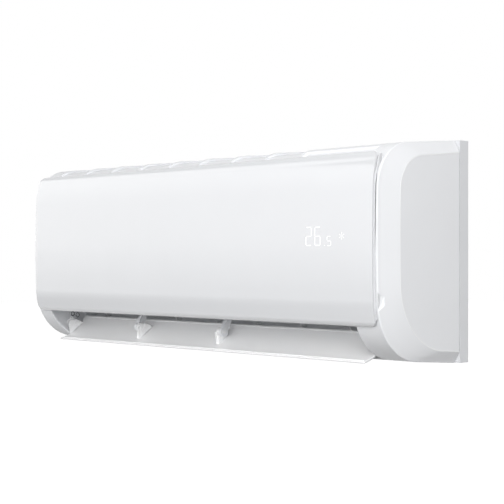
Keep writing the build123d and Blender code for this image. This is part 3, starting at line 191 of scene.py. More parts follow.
@dataclass(frozen=True)
class Finish:
    """A procedural finish, whose patterns read Object coordinates.

    Attributes:
        name: name of the Blender material.
        colour: linear base colour.
        rough: mean roughness.
        metallic: 0 or 1.
        coat: weight of a clear top layer.
        grain: kind of fine texture.
        relief: height of the fine texture, in metres.
        mottle: share by which the colour wanders over the part.
        soft_edge: radius by which sharp edges look rounded, in metres.
        edge_lightening: share of lightening along the edges.
    """

    name: str
    colour: Triple
    rough: float = 0.4
    metallic: float = 0.0
    coat: float = 0.0
    grain: Grain = Grain.MOULDED
    relief: float = 0.00001
    mottle: float = 0.015
    soft_edge: float = 0.0003
    edge_lightening: float = 0.0

    COAT_ROUGH = 0.08
    REFRACTION = 1.5
    ROUGH_SPREAD = 0.12
    WHITEST = 0.95
    WANDER_CELLS = (14.0, 14.0, 14.0)
    WANDER_SPAN = (0.3, 0.7)
    SPANGLE_CELLS = 150.0
    TRACE_CELLS = 220.0
    TRACE_SPAN = (0.46, 0.5)
    EDGE_SPAN = (0.75, 0.99)
    BRIGHT_CELL = 1.12

    def build(self) -> bpy.types.Material:
        """Makes the material.

        Returns:
            The new material.
        """
        material, graph = Graph.material(self.name)
        place = graph.add("TexCoord").outputs["Object"]
        fine = self._fine(graph, place)
        wander = graph.noise(place, self.WANDER_CELLS, detail=3.0)
        colour = graph.ramp(wander, *(self._level(1.0 + self.mottle * k) for k in (-1, 1)), *self.WANDER_SPAN)
        if self.grain in (Grain.SPANGLE, Grain.TRACES):
            colour = self._lighten(graph, fine, colour, self.BRIGHT_CELL)
        bump: dict[str | int, Value] = {"Strength": 1.0, "Distance": self.relief, "Height": fine}
        if self.soft_edge:
            bump["Normal"] = graph.add("Bevel", {"Radius": self.soft_edge}, samples=4).outputs["Normal"]
        # Lightens the colour along the sharp edges by the given share.
        if self.edge_lightening:
            colour = self._lighten(graph, self._edges(graph, bump["Normal"]), colour, 1.0 + self.edge_lightening)
        low, high = (self.rough * (1.0 + self.ROUGH_SPREAD * k) for k in (-1, 1))
        graph.feed(graph.tree.nodes["Principled BSDF"], {
            "Metallic": self.metallic, "Coat Weight": self.coat, "Coat Roughness": self.COAT_ROUGH,
            "IOR": self.REFRACTION, "Base Color": colour, "Roughness": graph.mapped(fine, low, high),
            "Normal": graph.add("Bump", bump).outputs["Normal"]})
        return material

    def _level(self, share: float) -> Triple:
        """The base colour times a share, kept below pure white where that is over 1."""
        return tuple(min(c * share, self.WHITEST if share > 1.0 else 1.0) for c in self.colour)

    def _fine(self, graph: Graph, place: Socket) -> Socket:
        """Adds the fine texture.

        Args:
            graph: graph of the material.
            place: coordinates that it reads.

        Returns:
            Its height, from 0 to 1.
        """
        if self.grain in GRAIN_CELLS:
            return graph.noise(place, GRAIN_CELLS[self.grain], detail=2.0)
        if self.grain is Grain.SPANGLE:
            cells = graph.add("TexVoronoi", {"Vector": place, "Scale": self.SPANGLE_CELLS})
            return graph.add("SeparateColor", {"Color": cells.outputs["Color"]}).outputs["Red"]
        cells = graph.add("TexVoronoi", {"Vector": place, "Scale": self.TRACE_CELLS}, distance="CHEBYCHEV")
        return graph.mapped(cells.outputs["Distance"], 0.0, 1.0, *self.TRACE_SPAN)

    def _lighten(self, graph: Graph, value: Socket, colour: Socket, share: float) -> Socket:
        """A colour drawn by a value towards the base colour times a share."""
        inputs = {"Factor": value, "A": colour, "B": (*self._level(share), 1.0)}
        return graph.add("Mix", inputs, data_type="RGBA").outputs["Result"]

    def _edges(self, graph: Graph, normal: Socket) -> Socket:
        """Finds the sharp edges.

        Args:
            graph: graph of the material.
            normal: the normal with rounded edges.

        Returns:
            1 on an edge, falling to 0 beside it.
        """
        true_normal = graph.add("NewGeometry").outputs["Normal"]
        dot = graph.add("VectorMath", {0: normal, 1: true_normal}, operation="DOT_PRODUCT")
        return graph.mapped(dot.outputs["Value"], 1.0, 0.0, *self.EDGE_SPAN)


@dataclass(frozen=True)
class Glow:
    """A lit segment that shines through the panel."""

    name: str
    colour: Triple
    strength: float

    ROUGH = 0.3
    DIM = 0.94
    CELLS = (700.0, 700.0, 700.0)

    def build(self) -> bpy.types.Material:
        """Makes the material, whose light wanders a little.

        Returns:
            The new material.
        """
        material, graph = Graph.material(self.name)
        place = graph.add("TexCoord").outputs["Object"]
        dim = tuple(self.DIM * c for c in self.colour)
        colour = graph.ramp(graph.noise(place, self.CELLS, detail=1.0), dim, self.colour)
        graph.feed(graph.tree.nodes["Principled BSDF"], {
            "Roughness": self.ROUGH, "Emission Strength": self.strength,
            "Base Color": colour, "Emission Color": colour})
        return material


FINISHES: dict[str, Finish | Glow] = {
    "panel_plastic": Finish("glossy_panel", (0.665, 0.675, 0.695), 0.2, coat=1.0,
                            grain=Grain.POLISHED, relief=0.000012, mottle=0.006, soft_edge=0.0),
    "casing_plastic": Finish("satin_casing", (0.85, 0.86, 0.88), 0.42, mottle=0.01),
    "flap_plastic": Finish("satin_flap", (0.95, 0.955, 0.965), 0.36, mottle=0.01, relief=0.000006),
    "back_plastic": Finish("chassis_plastic", (0.74, 0.75, 0.77), 0.5),
    "duct_plastic": Finish("duct_grey", (0.8, 0.81, 0.83), 0.5),
    "louvre_plastic": Finish("louvre_white", (0.86, 0.87, 0.88), 0.45),
    "fan_plastic": Finish("fan_dark", (0.028, 0.03, 0.034), 0.48),
    "motor_steel": Finish("motor_can", (0.42, 0.43, 0.45), 0.34, metallic=1.0, grain=Grain.DRAWN,
                          relief=0.000008, edge_lightening=0.25),
    "zinc_steel": Finish("zinc_sheet", (0.55, 0.57, 0.6), 0.38, metallic=1.0, grain=Grain.SPANGLE,
                         relief=0.000008, edge_lightening=0.3),
    "shaft_steel": Finish("ground_steel", (0.56, 0.56, 0.57), 0.22, metallic=1.0,
                          grain=Grain.DRAWN, relief=0.000004),
    "bearing_rubber": Finish("bush_rubber", (0.018, 0.018, 0.018), 0.75, relief=0.00002),
    "fin_aluminium": Finish("coated_fins", (0.5, 0.6, 0.68), 0.35, metallic=1.0,
                            grain=Grain.ROLLED, relief=0.000006, soft_edge=0.0),
    "copper": Finish("dull_copper", (0.72, 0.32, 0.18), 0.36, metallic=1.0, grain=Grain.DRAWN,
                     relief=0.000006, mottle=0.12),
    "union_brass": Finish("machined_brass", (0.66, 0.48, 0.18), 0.26, metallic=1.0,
                          grain=Grain.DRAWN, relief=0.000004, edge_lightening=0.2),
    "filter_plastic": Finish("filter_grey", (0.34, 0.37, 0.41), 0.5, soft_edge=0.0),
    "box_plastic": Finish("box_white", (0.6, 0.6, 0.57), 0.5),
    "board_green": Finish("circuit_board", (0.012, 0.09, 0.035), 0.3, coat=0.5,
                          grain=Grain.TRACES, relief=0.00003),
    "terminal_dark": Finish("terminal_black", (0.022, 0.022, 0.025), 0.42),
    "display_dark": Finish("display_smoke", (0.03, 0.033, 0.038), 0.2, coat=0.6,
                           grain=Grain.POLISHED, relief=0.000006),
    "button_plastic": Finish("button_grey", (0.5, 0.52, 0.55), 0.3, coat=0.3),
    # painted highlight: the crease bead is coloured brighter than the casing to stand for the light that the
    # crease catches
    "crease_painted_highlight": Finish("crease_painted_highlight", (0.93, 0.94, 0.95), 0.3, mottle=0.006, relief=0.000004),
    "groove_shade": Finish("groove_shade", (0.06, 0.065, 0.07), 0.6, soft_edge=0.0),
    "lit_segment": Glow("lit_segment", (1.0, 1.0, 1.0), 0.09),
}


# ------------------------------------------------------------------------------ mesh tools


class View(Enum):
    """The plane a flat outline is drawn in, and the axis that it is extruded along."""

    SIDE = "Y and Z, extruded along X"
    FRONT = "X and Z, extruded along Y"

    def at(self, a: float, b: float, depth: float) -> Vector:
        """A point of the outline, in the row frame."""
        return Vector((depth, a, b) if self is View.SIDE else (a, depth, b))


RING_SIDES = 32
ROD_SIDES = 24


def new_verts(mesh: Mesh, places: Iterable[Place]) -> Verts:
    """Adds loose vertices at some places, in order."""
    return [bmesh.ops.create_vert(mesh, co=place)["vert"][0] for place in places]


def new_edges(mesh: Mesh, verts: Verts, closed: bool = True) -> Edges:
    """Adds edges from each vertex to the next, and back to the first one where closed."""
    return [mesh.edges.new(pair) for pair in zip(verts, verts[1:] + verts[:closed])]


def only_verts(geometry: Iterable) -> Verts:
    """The vertices in the result of an operator."""
    return [v for v in geometry if isinstance(v, bmesh.types.BMVert)]


def face_outward(mesh: Mesh, verts: Verts) -> None:
    """Turns the faces round some vertices to look outward."""
    bmesh.ops.recalc_face_normals(mesh, faces=list({f for v in verts for f in v.link_faces}))


def prism(mesh: Mesh, view: View, outline: list[Point], start: float, end: float) -> None:
    """Adds a solid of constant section.

    Args:
        mesh: mesh to add to.
        view: plane of the outline.
        outline: corners, in order.
        start: where the solid begins on the third axis.
        end: where it ends.
    """
    loop = new_verts(mesh, [view.at(a, b, start) for a, b in outline])
    face = bmesh.ops.contextual_create(mesh, geom=new_edges(mesh, loop))["faces"]
    moved = only_verts(bmesh.ops.extrude_face_region(mesh, geom=face)["geom"])
    bmesh.ops.translate(mesh, verts=moved, vec=view.at(0.0, 0.0, end - start))
    face_outward(mesh, loop + moved)


def block(mesh: Mesh, low: Place, high: Place) -> Verts:
    """Adds a box.

    Args:
        mesh: mesh to add to.
        low: corner with the least X, Y and Z.
        high: corner with the greatest.

    Returns:
        The box's vertices.
    """
    size = Vector(high) - Vector(low)
    matrix = Matrix.Translation((Vector(low) + Vector(high)) / 2) @ Matrix.Diagonal((*size, 1.0))
    return bmesh.ops.create_cube(mesh, size=1.0, matrix=matrix)["verts"]


def rod(mesh: Mesh, start: Place, end: Place, radius: float, tip: float | None = None) -> None:
    """Adds a round bar or cone between two points.

    Args:
        mesh: mesh to add to.
        start: middle of one end.
        end: middle of the other end.
        radius: radius at the start.
        tip: radius at the end, if it differs.
    """
    run = Vector(end) - Vector(start)
    turn = Vector((0, 0, 1)).rotation_difference(run).to_matrix().to_4x4()
    bmesh.ops.create_cone(mesh, cap_ends=True, segments=ROD_SIDES, radius1=radius,
                          radius2=radius if tip is None else tip, depth=run.length,
                          matrix=Matrix.Translation((Vector(start) + Vector(end)) / 2) @ turn)


def ring(mesh: Mesh, centre: Place, way: Place, outer: float, inner: float, length: float) -> None:
    """Adds a tube that stands on a centre and runs a length the given way.

    Args:
        mesh: mesh to add to.
        centre: middle of the tube's foot.
        way: unit direction of its axis.
        outer: outer radius.
        inner: bore radius.
        length: how long it is.
    """
    axis, origin = Vector(way), Vector(centre)
    side = axis.orthogonal().normalized()
    section = ((inner, 0), (outer, 0), (outer, length), (inner, length))
    loop = new_verts(mesh, [origin + side * radius + axis * high for radius, high in section])
    bmesh.ops.spin(mesh, geom=loop + new_edges(mesh, loop), cent=origin, axis=axis, angle=math.tau,
                   steps=RING_SIDES, use_merge=True, use_duplicate=False)
    face_outward(mesh, [v for v in mesh.verts if (v.co - origin).length < outer + length])


def bevel(mesh: Mesh, chosen: list, width: float, segments: int, corners: bool = False) -> None:
    """Rounds chosen edges of a solid, or chosen corners of a sheet.

    Args:
        mesh: mesh to change.
        chosen: the edges or the corners.
        width: width of the rounding.
        segments: faces across it.
        corners: whether corners were chosen.
    """
    bmesh.ops.bevel(mesh, geom=chosen, offset=width, offset_type="OFFSET", segments=segments,
                    profile=0.5, affect="VERTICES" if corners else "EDGES",
                    clamp_overlap=not corners, material=-1)


def soften(mesh: Mesh, width: float, segments: int = 2, angle: float = 28.0,
           edges: Edges | None = None) -> None:
    """Rounds the sharp edges.

    Args:
        mesh: mesh to change.
        width: width of the rounding.
        segments: faces across it.
        angle: edges that turn more than this are rounded, in degrees.
        edges: the edges to choose from, or all.
    """
    limit = math.radians(angle)
    sharp = [e for e in (mesh.edges if edges is None else edges)
             if len(e.link_faces) == 2 and e.calc_face_angle(0.0) > limit]
    bevel(mesh, sharp, width, segments)


def hull(mesh: Mesh, points: list[Vector]) -> None:
    """Adds the smallest convex solid round some points.

    Args:
        mesh: mesh to add to.
        points: the points, of which inner ones are dropped.
    """
    found = bmesh.ops.convex_hull(mesh, input=new_verts(mesh, points))
    spare = set(only_verts(found["geom_interior"] + found["geom_unused"]))
    bmesh.ops.delete(mesh, geom=list(spare), context="VERTS")


@dataclass(frozen=True)
class ScrewHead:
    """A round head with a dark cross, which is painted shade standing for the shadow in the cross recess.

    Attributes:
        radius: radius of the head's foot, in millimetres.
        high: height of the head, as a share of that radius like the next four.
        top: radius of its upper end.
        cross_reach: half the length of the cross.
        cross_half: half the width of its strokes.
        cross_deep: how deep it lies in the head.
        cross_proud: how far it stands out of the head, in millimetres.
    """

    radius: float
    high: float = 0.5
    top: float = 0.8
    cross_reach: float = 0.55
    cross_half: float = 0.1
    cross_deep: float = 0.2
    cross_proud: float = 0.03

    def add(self, head: Mesh, cross: Mesh, foot: Vector, axis: Vector) -> None:
        """Adds one screw.

        Args:
            head: mesh that takes the head.
            cross: mesh that takes the cross of painted recess shade.
            foot: middle of the head's foot.
            axis: unit direction that the head looks in.
        """
        top = foot + axis * self.radius * self.high
        rod(head, foot, top, self.radius, self.radius * self.top)
        across = axis.orthogonal().normalized()
        for run in (across, axis.cross(across)):
            side = axis.cross(run) * self.radius * self.cross_half
            ends = [top + run * self.radius * self.cross_reach * k for k in (-1, 1)]
            # painted shade: a dark solid cross put where the shadow inside the cross recess falls
            hull(cross, [e + side * k + axis * h for e in ends for k in (-1, 1)
                         for h in (-self.radius * self.cross_deep, self.cross_proud)])


def put(name: str, data: bpy.types.ID) -> bpy.types.Object:
    """Makes an object of some data and adds it to the scene.

    Args:
        name: name of the object.
        data: its mesh, lamp or camera.

    Returns:
        The object.
    """
    made = bpy.data.objects.new(name, data)
    bpy.context.scene.collection.objects.link(made)
    return made


def spread(first: float, last: float, count: int) -> list[float]:
    """A number of values at even steps from the first to the last."""
    return [first + (last - first) * k / (count - 1) for k in range(count)]


def arc_points(first: Point, middle: Point, last: Point, steps: int) -> list[Point]:
    """Points along the circle through three points, without the first one.

    Args:
        first: start of the arc.
        middle: a point that it passes.
        last: its end.
        steps: number of points.

    Returns:
        The points, in order.
    """
    (ax, ay), (bx, by), (cx, cy) = first, middle, last
    d = 2 * (ax * (by - cy) + bx * (cy - ay) + cx * (ay - by))
    a2, b2, c2 = ax * ax + ay * ay, bx * bx + by * by, cx * cx + cy * cy
    ux = (a2 * (by - cy) + b2 * (cy - ay) + c2 * (ay - by)) / d
    uy = (a2 * (cx - bx) + b2 * (ax - cx) + c2 * (bx - ax)) / d
    begin = math.atan2(ay - uy, ax - ux)
    sweep = math.atan2(cy - uy, cx - ux) - begin
    mid = math.atan2(by - uy, bx - ux) - begin
    sweep %= math.tau
    if mid % math.tau > sweep:
        sweep -= math.tau
    radius = math.hypot(ax - ux, ay - uy)
    return [(ux + radius * math.cos(begin + sweep * k / steps),
             uy + radius * math.sin(begin + sweep * k / steps)) for k in range(1, steps + 1)]


@dataclass
class Dresser:
    """Turns meshes into pieces and hands out the finishes."""

    frame: dict
    made: dict[str, bpy.types.Material] = field(default_factory=dict)

    def material(self, slot: str) -> bpy.types.Material:
        """Gives the material of a slot, made when it is first asked for.

        Args:
            slot: the record's material slot, or the name of another finish.

        Returns:
            The material.
        """
        if slot not in self.made:
            self.made[slot] = FINISHES[slot].build()
        return self.made[slot]

    def dress_nodes(self) -> None:
        """Gives every CAD node the finish of its slot in the record."""
        for part in self.frame["record"]["subparts"]:
            node = self.frame["nodes"][part["node"]]
            node.data.materials.clear()
            node.data.materials.append(self.material(part["material_slot"]))
            LOG.info("%s: %s", part["node"], part["material_slot"])

    def piece(self, name: str, mesh: Mesh, slot: str, body: str, stands_for: tuple[str, ...] = (),
              finish: str | None = None, smooth: float = 32.0) -> bpy.types.Object:
        """Finishes a piece: to metres, shaded, dressed, riding on its body.

        Args:
            name: name of the piece.
            mesh: its mesh in millimetres, which is used up.
            slot: the record's material slot.
            body: the CAD body that it moves with.
            stands_for: CAD nodes that it replaces.
            finish: a finish other than the slot's own.
            smooth: edges that turn less than this are shaded smooth, in degrees.

        Returns:
            The new object.
        """
        limit = math.radians(smooth)
        for face in mesh.faces:
            face.smooth = True
        for edge in mesh.edges:
            edge.smooth = len(edge.link_faces) == 2 and edge.calc_face_angle(0.0) < limit
        bmesh.ops.scale(mesh, vec=(MM, MM, MM), verts=mesh.verts)
        data = bpy.data.meshes.new(name)
        mesh.to_mesh(data)
        mesh.free()
        data.materials.append(self.material(finish or slot))
        made = put(name, data)
        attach(made, body)
        if stands_for:
            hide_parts(*stands_for)
        LOG.info("%s: %d faces on %s", name, len(data.polygons), body)
        return made


# ------------------------------------------------------------------------------ the casing


@dataclass(frozen=True)
class SideOutline:
    """Side outline: sloping top, round top front edge, bowed front, round nose, sloping base.

    Attributes:
        fall: slope of the top towards the room, in degrees.
        drop: slope of the base towards the wall, in degrees.
        upper_bow: how far the top front edge stays behind the foremost line.
        lower_bow: how far the nose does.
        bow_middle: height at which the front reaches that line.
    """

    depth: float
    top: float
    bottom: float
    fall: float
    drop: float
    upper_radius: float
    lower_radius: float
    upper_bow: float
    lower_bow: float
    seam: float = -17.0
    bow_middle: float = 8.0
    edge_steps: int = 24
    bow_steps: int = 60
    nose_steps: int = 54

    @property
    def upper(self) -> Point:
        """Centre of the top front edge.

        Returns:
            Y and Z.
        """
        y = self.upper_bow + self.upper_radius - self.depth
        rise = math.tan(math.radians(self.fall)) * (y - self.seam)
        return y, self.top + rise - self.upper_radius / math.cos(math.radians(self.fall))

    @property
    def lower(self) -> Point:
        """Centre of the nose.

        Returns:
            Y and Z.
        """
        drop = math.radians(self.drop)
        y = self.lower_bow + self.lower_radius - self.depth
        rise = math.tan(drop) * (self.seam - y + self.lower_radius * math.sin(drop))
        return y, self.bottom + rise + self.lower_radius * math.cos(drop)

    def points(self, inset: float = 0.0, seam: float | None = None) -> list[Point]:
        """The outline from the top of the seam round to its foot.

        Args:
            inset: how far inside the skin it lies.
            seam: place of the seam, if it isn't the outline's own.

        Returns:
            Points in Y and Z.
        """
        seam = self.seam if seam is None else seam
        fall, drop = math.radians(self.fall), math.radians(self.drop)
        top = self.top + math.tan(fall) * (seam - self.seam) - inset / math.cos(fall)
        foot = self.bottom - math.tan(drop) * (seam - self.seam) + inset / math.cos(drop)
        found = [(seam, top)]
        for (cy, cz), radius, first, last, steps in (
                (self.upper, self.upper_radius - inset, 90 + self.fall, 180, self.edge_steps),
                (self.lower, self.lower_radius - inset, 180, 270 - self.drop, self.nose_steps)):
            arc = [(cy + radius * math.cos(a), cz + radius * math.sin(a))
                   for a in map(math.radians, spread(first, last, steps + 1))]
            if len(found) > 1:
                found += arc_points(found[-1], (inset - self.depth, self.bow_middle), arc[0], self.bow_steps)
                arc = arc[1:]
            found += arc
        return [*found, (seam, foot)]

    def front(self, height: float) -> float:
        """Finds the front skin.

        Args:
            height: a height between the top front edge and the foot.

        Returns:
            Y of the skin there.
        """
        line = self.points()[2:-1]
        return next(a[0] + (b[0] - a[0]) * (height - a[1]) / (b[1] - a[1])
                    for a, b in zip(line, line[1:]) if b[1] <= height <= a[1])


CASING = SideOutline(depth=164.4, top=139.3, bottom=-140.4, fall=4.6, drop=3.9,
                     upper_radius=58.0, lower_radius=74.4, upper_bow=1.1, lower_bow=2.0)
FLAT = SideOutline(depth=132.0, top=124.2, bottom=-126.2, fall=5.6, drop=3.9,
                   upper_radius=45.0, lower_radius=85.5, upper_bow=0.7, lower_bow=0.7)


@dataclass
class SideCovers:
    """The two covers: a sloping band, rounded at both creases, round a flat end."""

    rim: float = 359.0
    end: float = 367.88
    face: float = 368.0
    wall: float = 2.5
    groove: float = 1.1
    crease: float = 1.4
    crease_rise: float = 0.2
    outer_share: float = 0.1
    inner_share: float = 0.06
    inner_lead: float = 0.9
    inner_reach: float = 1.6
    bend_steps: int = 5
    band_steps: int = 9
    bead: float = 1.2
    bead_sunk: float = 0.6
    scoop_z: float = -60.5
    scoop_back: float = 10.5
    scoop_half: float = 9.5
    scoop_push: Point = (-1.3, 4.6)
    scoop_limit: float = 0.05

    @property
    def seam(self) -> float:
        """Y where the covers end, at the groove before the chassis."""
        return CASING.seam - self.groove

    def sections(self) -> list[Point]:
        """Lists the sections of the sloping band.

        Returns:
            Share of the way from the casing's outline to the flat's, and X, of each section.
        """
        slope = (self.end - self.rim - self.crease) / (1 - self.outer_share)
        start = (self.outer_share, self.rim + self.crease + self.crease_rise)
        stop = (1 - self.inner_share, self.end - slope * self.inner_share * self.inner_lead)
        band = [tuple(a + (b - a) * k / self.band_steps for a, b in zip(start, stop))
                for k in range(1, self.band_steps)]
        return [*self.bend((0.0, self.rim), (0.0, self.rim + self.crease), start), *band,
                *self.bend(stop, (1.0, self.end), (1 + self.inner_share * self.inner_reach, self.end))]

    def bend(self, *corners: Point) -> list[Point]:
        """Draws a curve from the first to the last of three corners.

        Args:
            corners: the corners; the curve bends towards the middle one without reaching it.

        Returns:
            Points of the curve.
        """
        found = []
        for k in range(self.bend_steps + 1):
            t = k / self.bend_steps
            shares = ((1 - t) ** 2, 2 * t * (1 - t), t * t)
            found.append(tuple(sum(w * c[axis] for w, c in zip(shares, corners)) for axis in (0, 1)))
        return found

    def mesh(self, side: int) -> Mesh:
        """Builds one cover.

        Args:
            side: 1 for the right cover and -1 for the left one.

        Returns:
            Its mesh.
        """
        mesh = bmesh.new()
        outer, inner = (outline.points(seam=self.seam) for outline in (CASING, FLAT))
        loops = []
        for share, x in self.sections():
            line = [((1 - share) * a[0] + share * b[0], (1 - share) * a[1] + share * b[1])
                    for a, b in zip(outer, inner)]
            line[0], line[-1] = (self.seam, line[0][1]), (self.seam, line[-1][1])
            verts = new_verts(mesh, [(side * x, y, z) for y, z in line])
            loops.append(new_edges(mesh, verts, closed=False))
        for near, far in zip(loops, loops[1:]):
            bmesh.ops.bridge_loops(mesh, edges=near + far)
        last = [e.verts[0] for e in loops[-1]] + [loops[-1][-1].verts[1]]
        bmesh.ops.contextual_create(mesh, geom=[*loops[-1], mesh.edges.new((last[-1], last[0]))])
        self.press_scoop(mesh, side)
        bmesh.ops.recalc_face_normals(mesh, faces=mesh.faces)
        if next(f for f in mesh.faces if len(f.verts) > 4).normal.x * side < 0:
            bmesh.ops.reverse_faces(mesh, faces=mesh.faces)
        bmesh.ops.solidify(mesh, geom=mesh.faces, thickness=self.wall)
        return mesh

    def press_scoop(self, mesh: Mesh, side: int) -> None:
        """Presses in the hollow beside the panel's edge that a finger opens it by.

        Args:
            mesh: the cover's mesh.
            side: 1 for the right cover and -1 for the left one.
        """
        for vert in mesh.verts:
            back = max(vert.co.y + CASING.depth, 0.0) / self.scoop_back
            rise = (vert.co.z - self.scoop_z) / self.scoop_half
            left = 1 - back ** 2 - rise ** 2
            if left > 0:
                push = math.sqrt(left)
                vert.co.y += self.scoop_push[1] * push
                vert.co.x = side * max(self.rim + self.scoop_limit,
                                       abs(vert.co.x) + self.scoop_push[0] * push)

    def bead_mesh(self, side: int) -> Mesh:
        """Builds the bead along the crease round the flat end, whose colour, brighter than the casing's, is a
        painted highlight on the crease.

        Args:
            side: 1 for the right cover and -1 for the left one.

        Returns:
            Its mesh.
        """
        outline = FLAT.points(seam=self.seam) + FLAT.points(self.bead, self.seam)[::-1]
        mesh = bmesh.new()
        prism(mesh, View.SIDE, outline, side * (self.face - self.bead_sunk), side * self.face)
        return mesh

    def build(self, dresser: Dresser) -> None:
        """Makes both covers and their beads.

        Args:
            dresser: takes the pieces.
        """
        for side, node in ((-1, "left_side_cover"), (1, "right_side_cover")):
            dresser.piece(f"{node}_skin", self.mesh(side), "casing_plastic", "root", (node,), smooth=24.0)
            # the bead's brighter finish is a painted highlight along the crease
            dresser.piece(f"{node}_bead", self.bead_mesh(side), "casing_plastic", "root",
                          finish="crease_painted_highlight")


# ------------------------------------------------------------------------------ the panel


@dataclass
class FrontPanel:
    """The glossy panel, bowed from top to bottom, with its rounded rim, ears and pins.

    Attributes:
        bow_foot: step behind the foremost line, and height, of the outer face's foot.
        bow: the arcs above it: a middle point, an end point and a number of points.
        lean_least: where the face looks ahead by more than this, the wall's depth follows its lean.
        rim_angle: edges of the shell that turn more than this get the rounded rim, in degrees.
        rib_spans: ends of the two fields of ribs.
        rib_levels: heights of the level ribs.
        ear: corners of an ear, seen from the hinge's axis.
        flank_x: X of the returns' outer faces, below and beside the hinge.
        flank_z: foot, middle and top of the returns.
        flank_turn: height at which their rear edge leaves the casing's front.
        flank_top: two last corners of that edge: a step and a height from the axis.
    """

    half_width: float = 355.7
    top: float = 118.8
    bottom: float = -90.2
    depth: float = 168.2
    thick: float = 3.0
    top_corner: float = 10.0
    bottom_corner: float = 8.0
    corner_steps: int = 10
    rim: float = 2.3
    bow_foot: Point = (9.1, -90.2)
    bow: tuple[tuple[Point, Point, int], ...] = (
        ((6.6, -88.0), (4.9, -83.6), 8), ((2.4, -72.0), (1.2, -56.0), 8),
        ((0.0, 14.3), (1.2, 72.0), 24), ((2.9, 92.0), (7.1, 109.5), 10),
        ((9.5, 115.8), (12.3, 118.8), 8))
    lean_least: float = 0.36
    rim_angle: float = 40.0
    rim_steps: int = 6
    axis: Point = (-152.5, 111.5)
    ear_x: float = 349.0
    ear_thick: float = 3.0
    ear_edge: float = 0.25
    ear: tuple[Point, ...] = ((2.0, -2.0), (0.0, 3.0), (-6.5, -1.0), (-10.9, -16.7), (-4.7, -18.7))
    boss_radius: float = 3.2
    pin_radius: float = 2.0
    pin_length: float = 5.0
    rib_high: float = 4.0
    rib_half: float = 0.7
    rib_sunk: float = 0.4
    rib_spans: tuple[Point, ...] = ((-300.0, -48.0), (-12.0, 214.0))
    rib_levels: Triple = (-48.0, 0.0, 46.0)
    rib_count: int = 4
    flank_x: Point = (356.15, 357.7)
    flank_z: Triple = (-83.0, 94.0, 115.5)
    flank_inset: float = 1.0
    flank_back: float = 2.6
    flank_gap: float = 0.45
    flank_turn: float = 108.0
    flank_top: tuple[Point, Point] = ((0.3, 0.0), (-0.6, 4.0))
    flank_steps: int = 48
    flank_edge: float = 0.4

    @cached_property
    def profile(self) -> list[Point]:
        """Works out the bow from its foot to its top.

        Returns:
            Steps behind the foremost line, and heights.
        """
        line = [self.bow_foot]
        for middle, last, steps in self.bow:
            line += arc_points(line[-1], middle, last, steps)
        return line

    def face(self, z: float) -> float:
        """Finds the outer face.

        Args:
            z: a height.

        Returns:
            Y of the face there.
        """
        line = self.profile
        for (a, low), (b, high) in zip(line, line[1:]):
            if z <= high:
                return a + (b - a) * (z - low) / (high - low) - self.depth
        return line[-1][0] - self.depth

    def lean(self, z: float, step: float = 0.5) -> float:
        """How far the outer face looks straight ahead at a height, from 0 to 1."""
        low, high = max(self.bottom, z - step), min(self.top, z + step)
        return abs(Vector((high - low, self.face(high) - self.face(low))).normalized().x)

    def skin(self) -> Mesh:
        """Builds the panel's shell.

        Returns:
            Its mesh.
        """
        mesh = bmesh.new()
        corners = [(k * self.half_width, 0, z) for k, z in (
            (1, self.top), (-1, self.top), (-1, self.bottom), (1, self.bottom))]
        verts = new_verts(mesh, corners)
        bmesh.ops.contextual_create(mesh, geom=new_edges(mesh, verts))
        for chosen, radius in ((verts[:2], self.top_corner), (verts[2:], self.bottom_corner)):
            bevel(mesh, chosen, radius, self.corner_steps, corners=True)
        cuts = [((0, 0, z), (0, 0, 1)) for _, z in self.profile[1:-1]]
        cuts += [((k * (self.half_width - self.top_corner), 0, 0), (1, 0, 0)) for k in (-1, 1)]
        for place, way in cuts:
            bmesh.ops.bisect_plane(mesh, geom=[*mesh.verts, *mesh.edges, *mesh.faces],
                                   plane_co=place, plane_no=way, dist=0.0001)
        for vert in mesh.verts:
            vert.co.y = self.face(vert.co.z)
        bmesh.ops.recalc_face_normals(mesh, faces=mesh.faces)
        if max(mesh.faces, key=lambda f: f.calc_area()).normal.y > 0:
            bmesh.ops.reverse_faces(mesh, faces=mesh.faces)
        back = set(only_verts(bmesh.ops.extrude_face_region(mesh, geom=mesh.faces[:])["geom"]))
        for vert in back:
            lean = self.lean(vert.co.z)
            vert.co.y += self.thick * (lean if lean > self.lean_least else 1.0)
        bmesh.ops.recalc_face_normals(mesh, faces=mesh.faces)
        soften(mesh, self.rim, self.rim_steps, self.rim_angle,
               [e for e in mesh.edges if not back.intersection(e.verts)])
        return mesh

    def back_ribs(self) -> Mesh:
        """Builds the ribs that stiffen the panel, where the casing's windows leave them room.

        Returns:
            Their mesh.
        """
        mesh = bmesh.new()
        half, low, high = self.rib_half, self.rib_levels[0], self.rib_levels[-1]
        for left, right in self.rib_spans:
            spans = [(left, right, z - half, z + half, z) for z in self.rib_levels]
            spans += [(x - half, x + half, low, high, 0.0) for x in spread(left, right, self.rib_count)]
            for near, far, foot, head, level in spans:
                y = self.face(level) + self.thick
                block(mesh, (near, y - self.rib_sunk, foot), (far, y + self.rib_high, head))
        return mesh

    def ears(self) -> Mesh:
        """Builds the ears behind the top edge, with their hinge pins.

        Returns:
            Their mesh.
        """
        mesh = bmesh.new()
        y, z = self.axis
        half = self.ear_thick / 2
        for side in (-1, 1):
            x = side * self.ear_x
            prism(mesh, View.SIDE, [(y + a, z + b) for a, b in self.ear], x - half, x + half)
            rod(mesh, (x - half, y, z), (x + half, y, z), self.boss_radius)
            rod(mesh, (x, y, z), (x + side * (half + self.pin_length), y, z), self.pin_radius)
        soften(mesh, self.ear_edge)
        return mesh

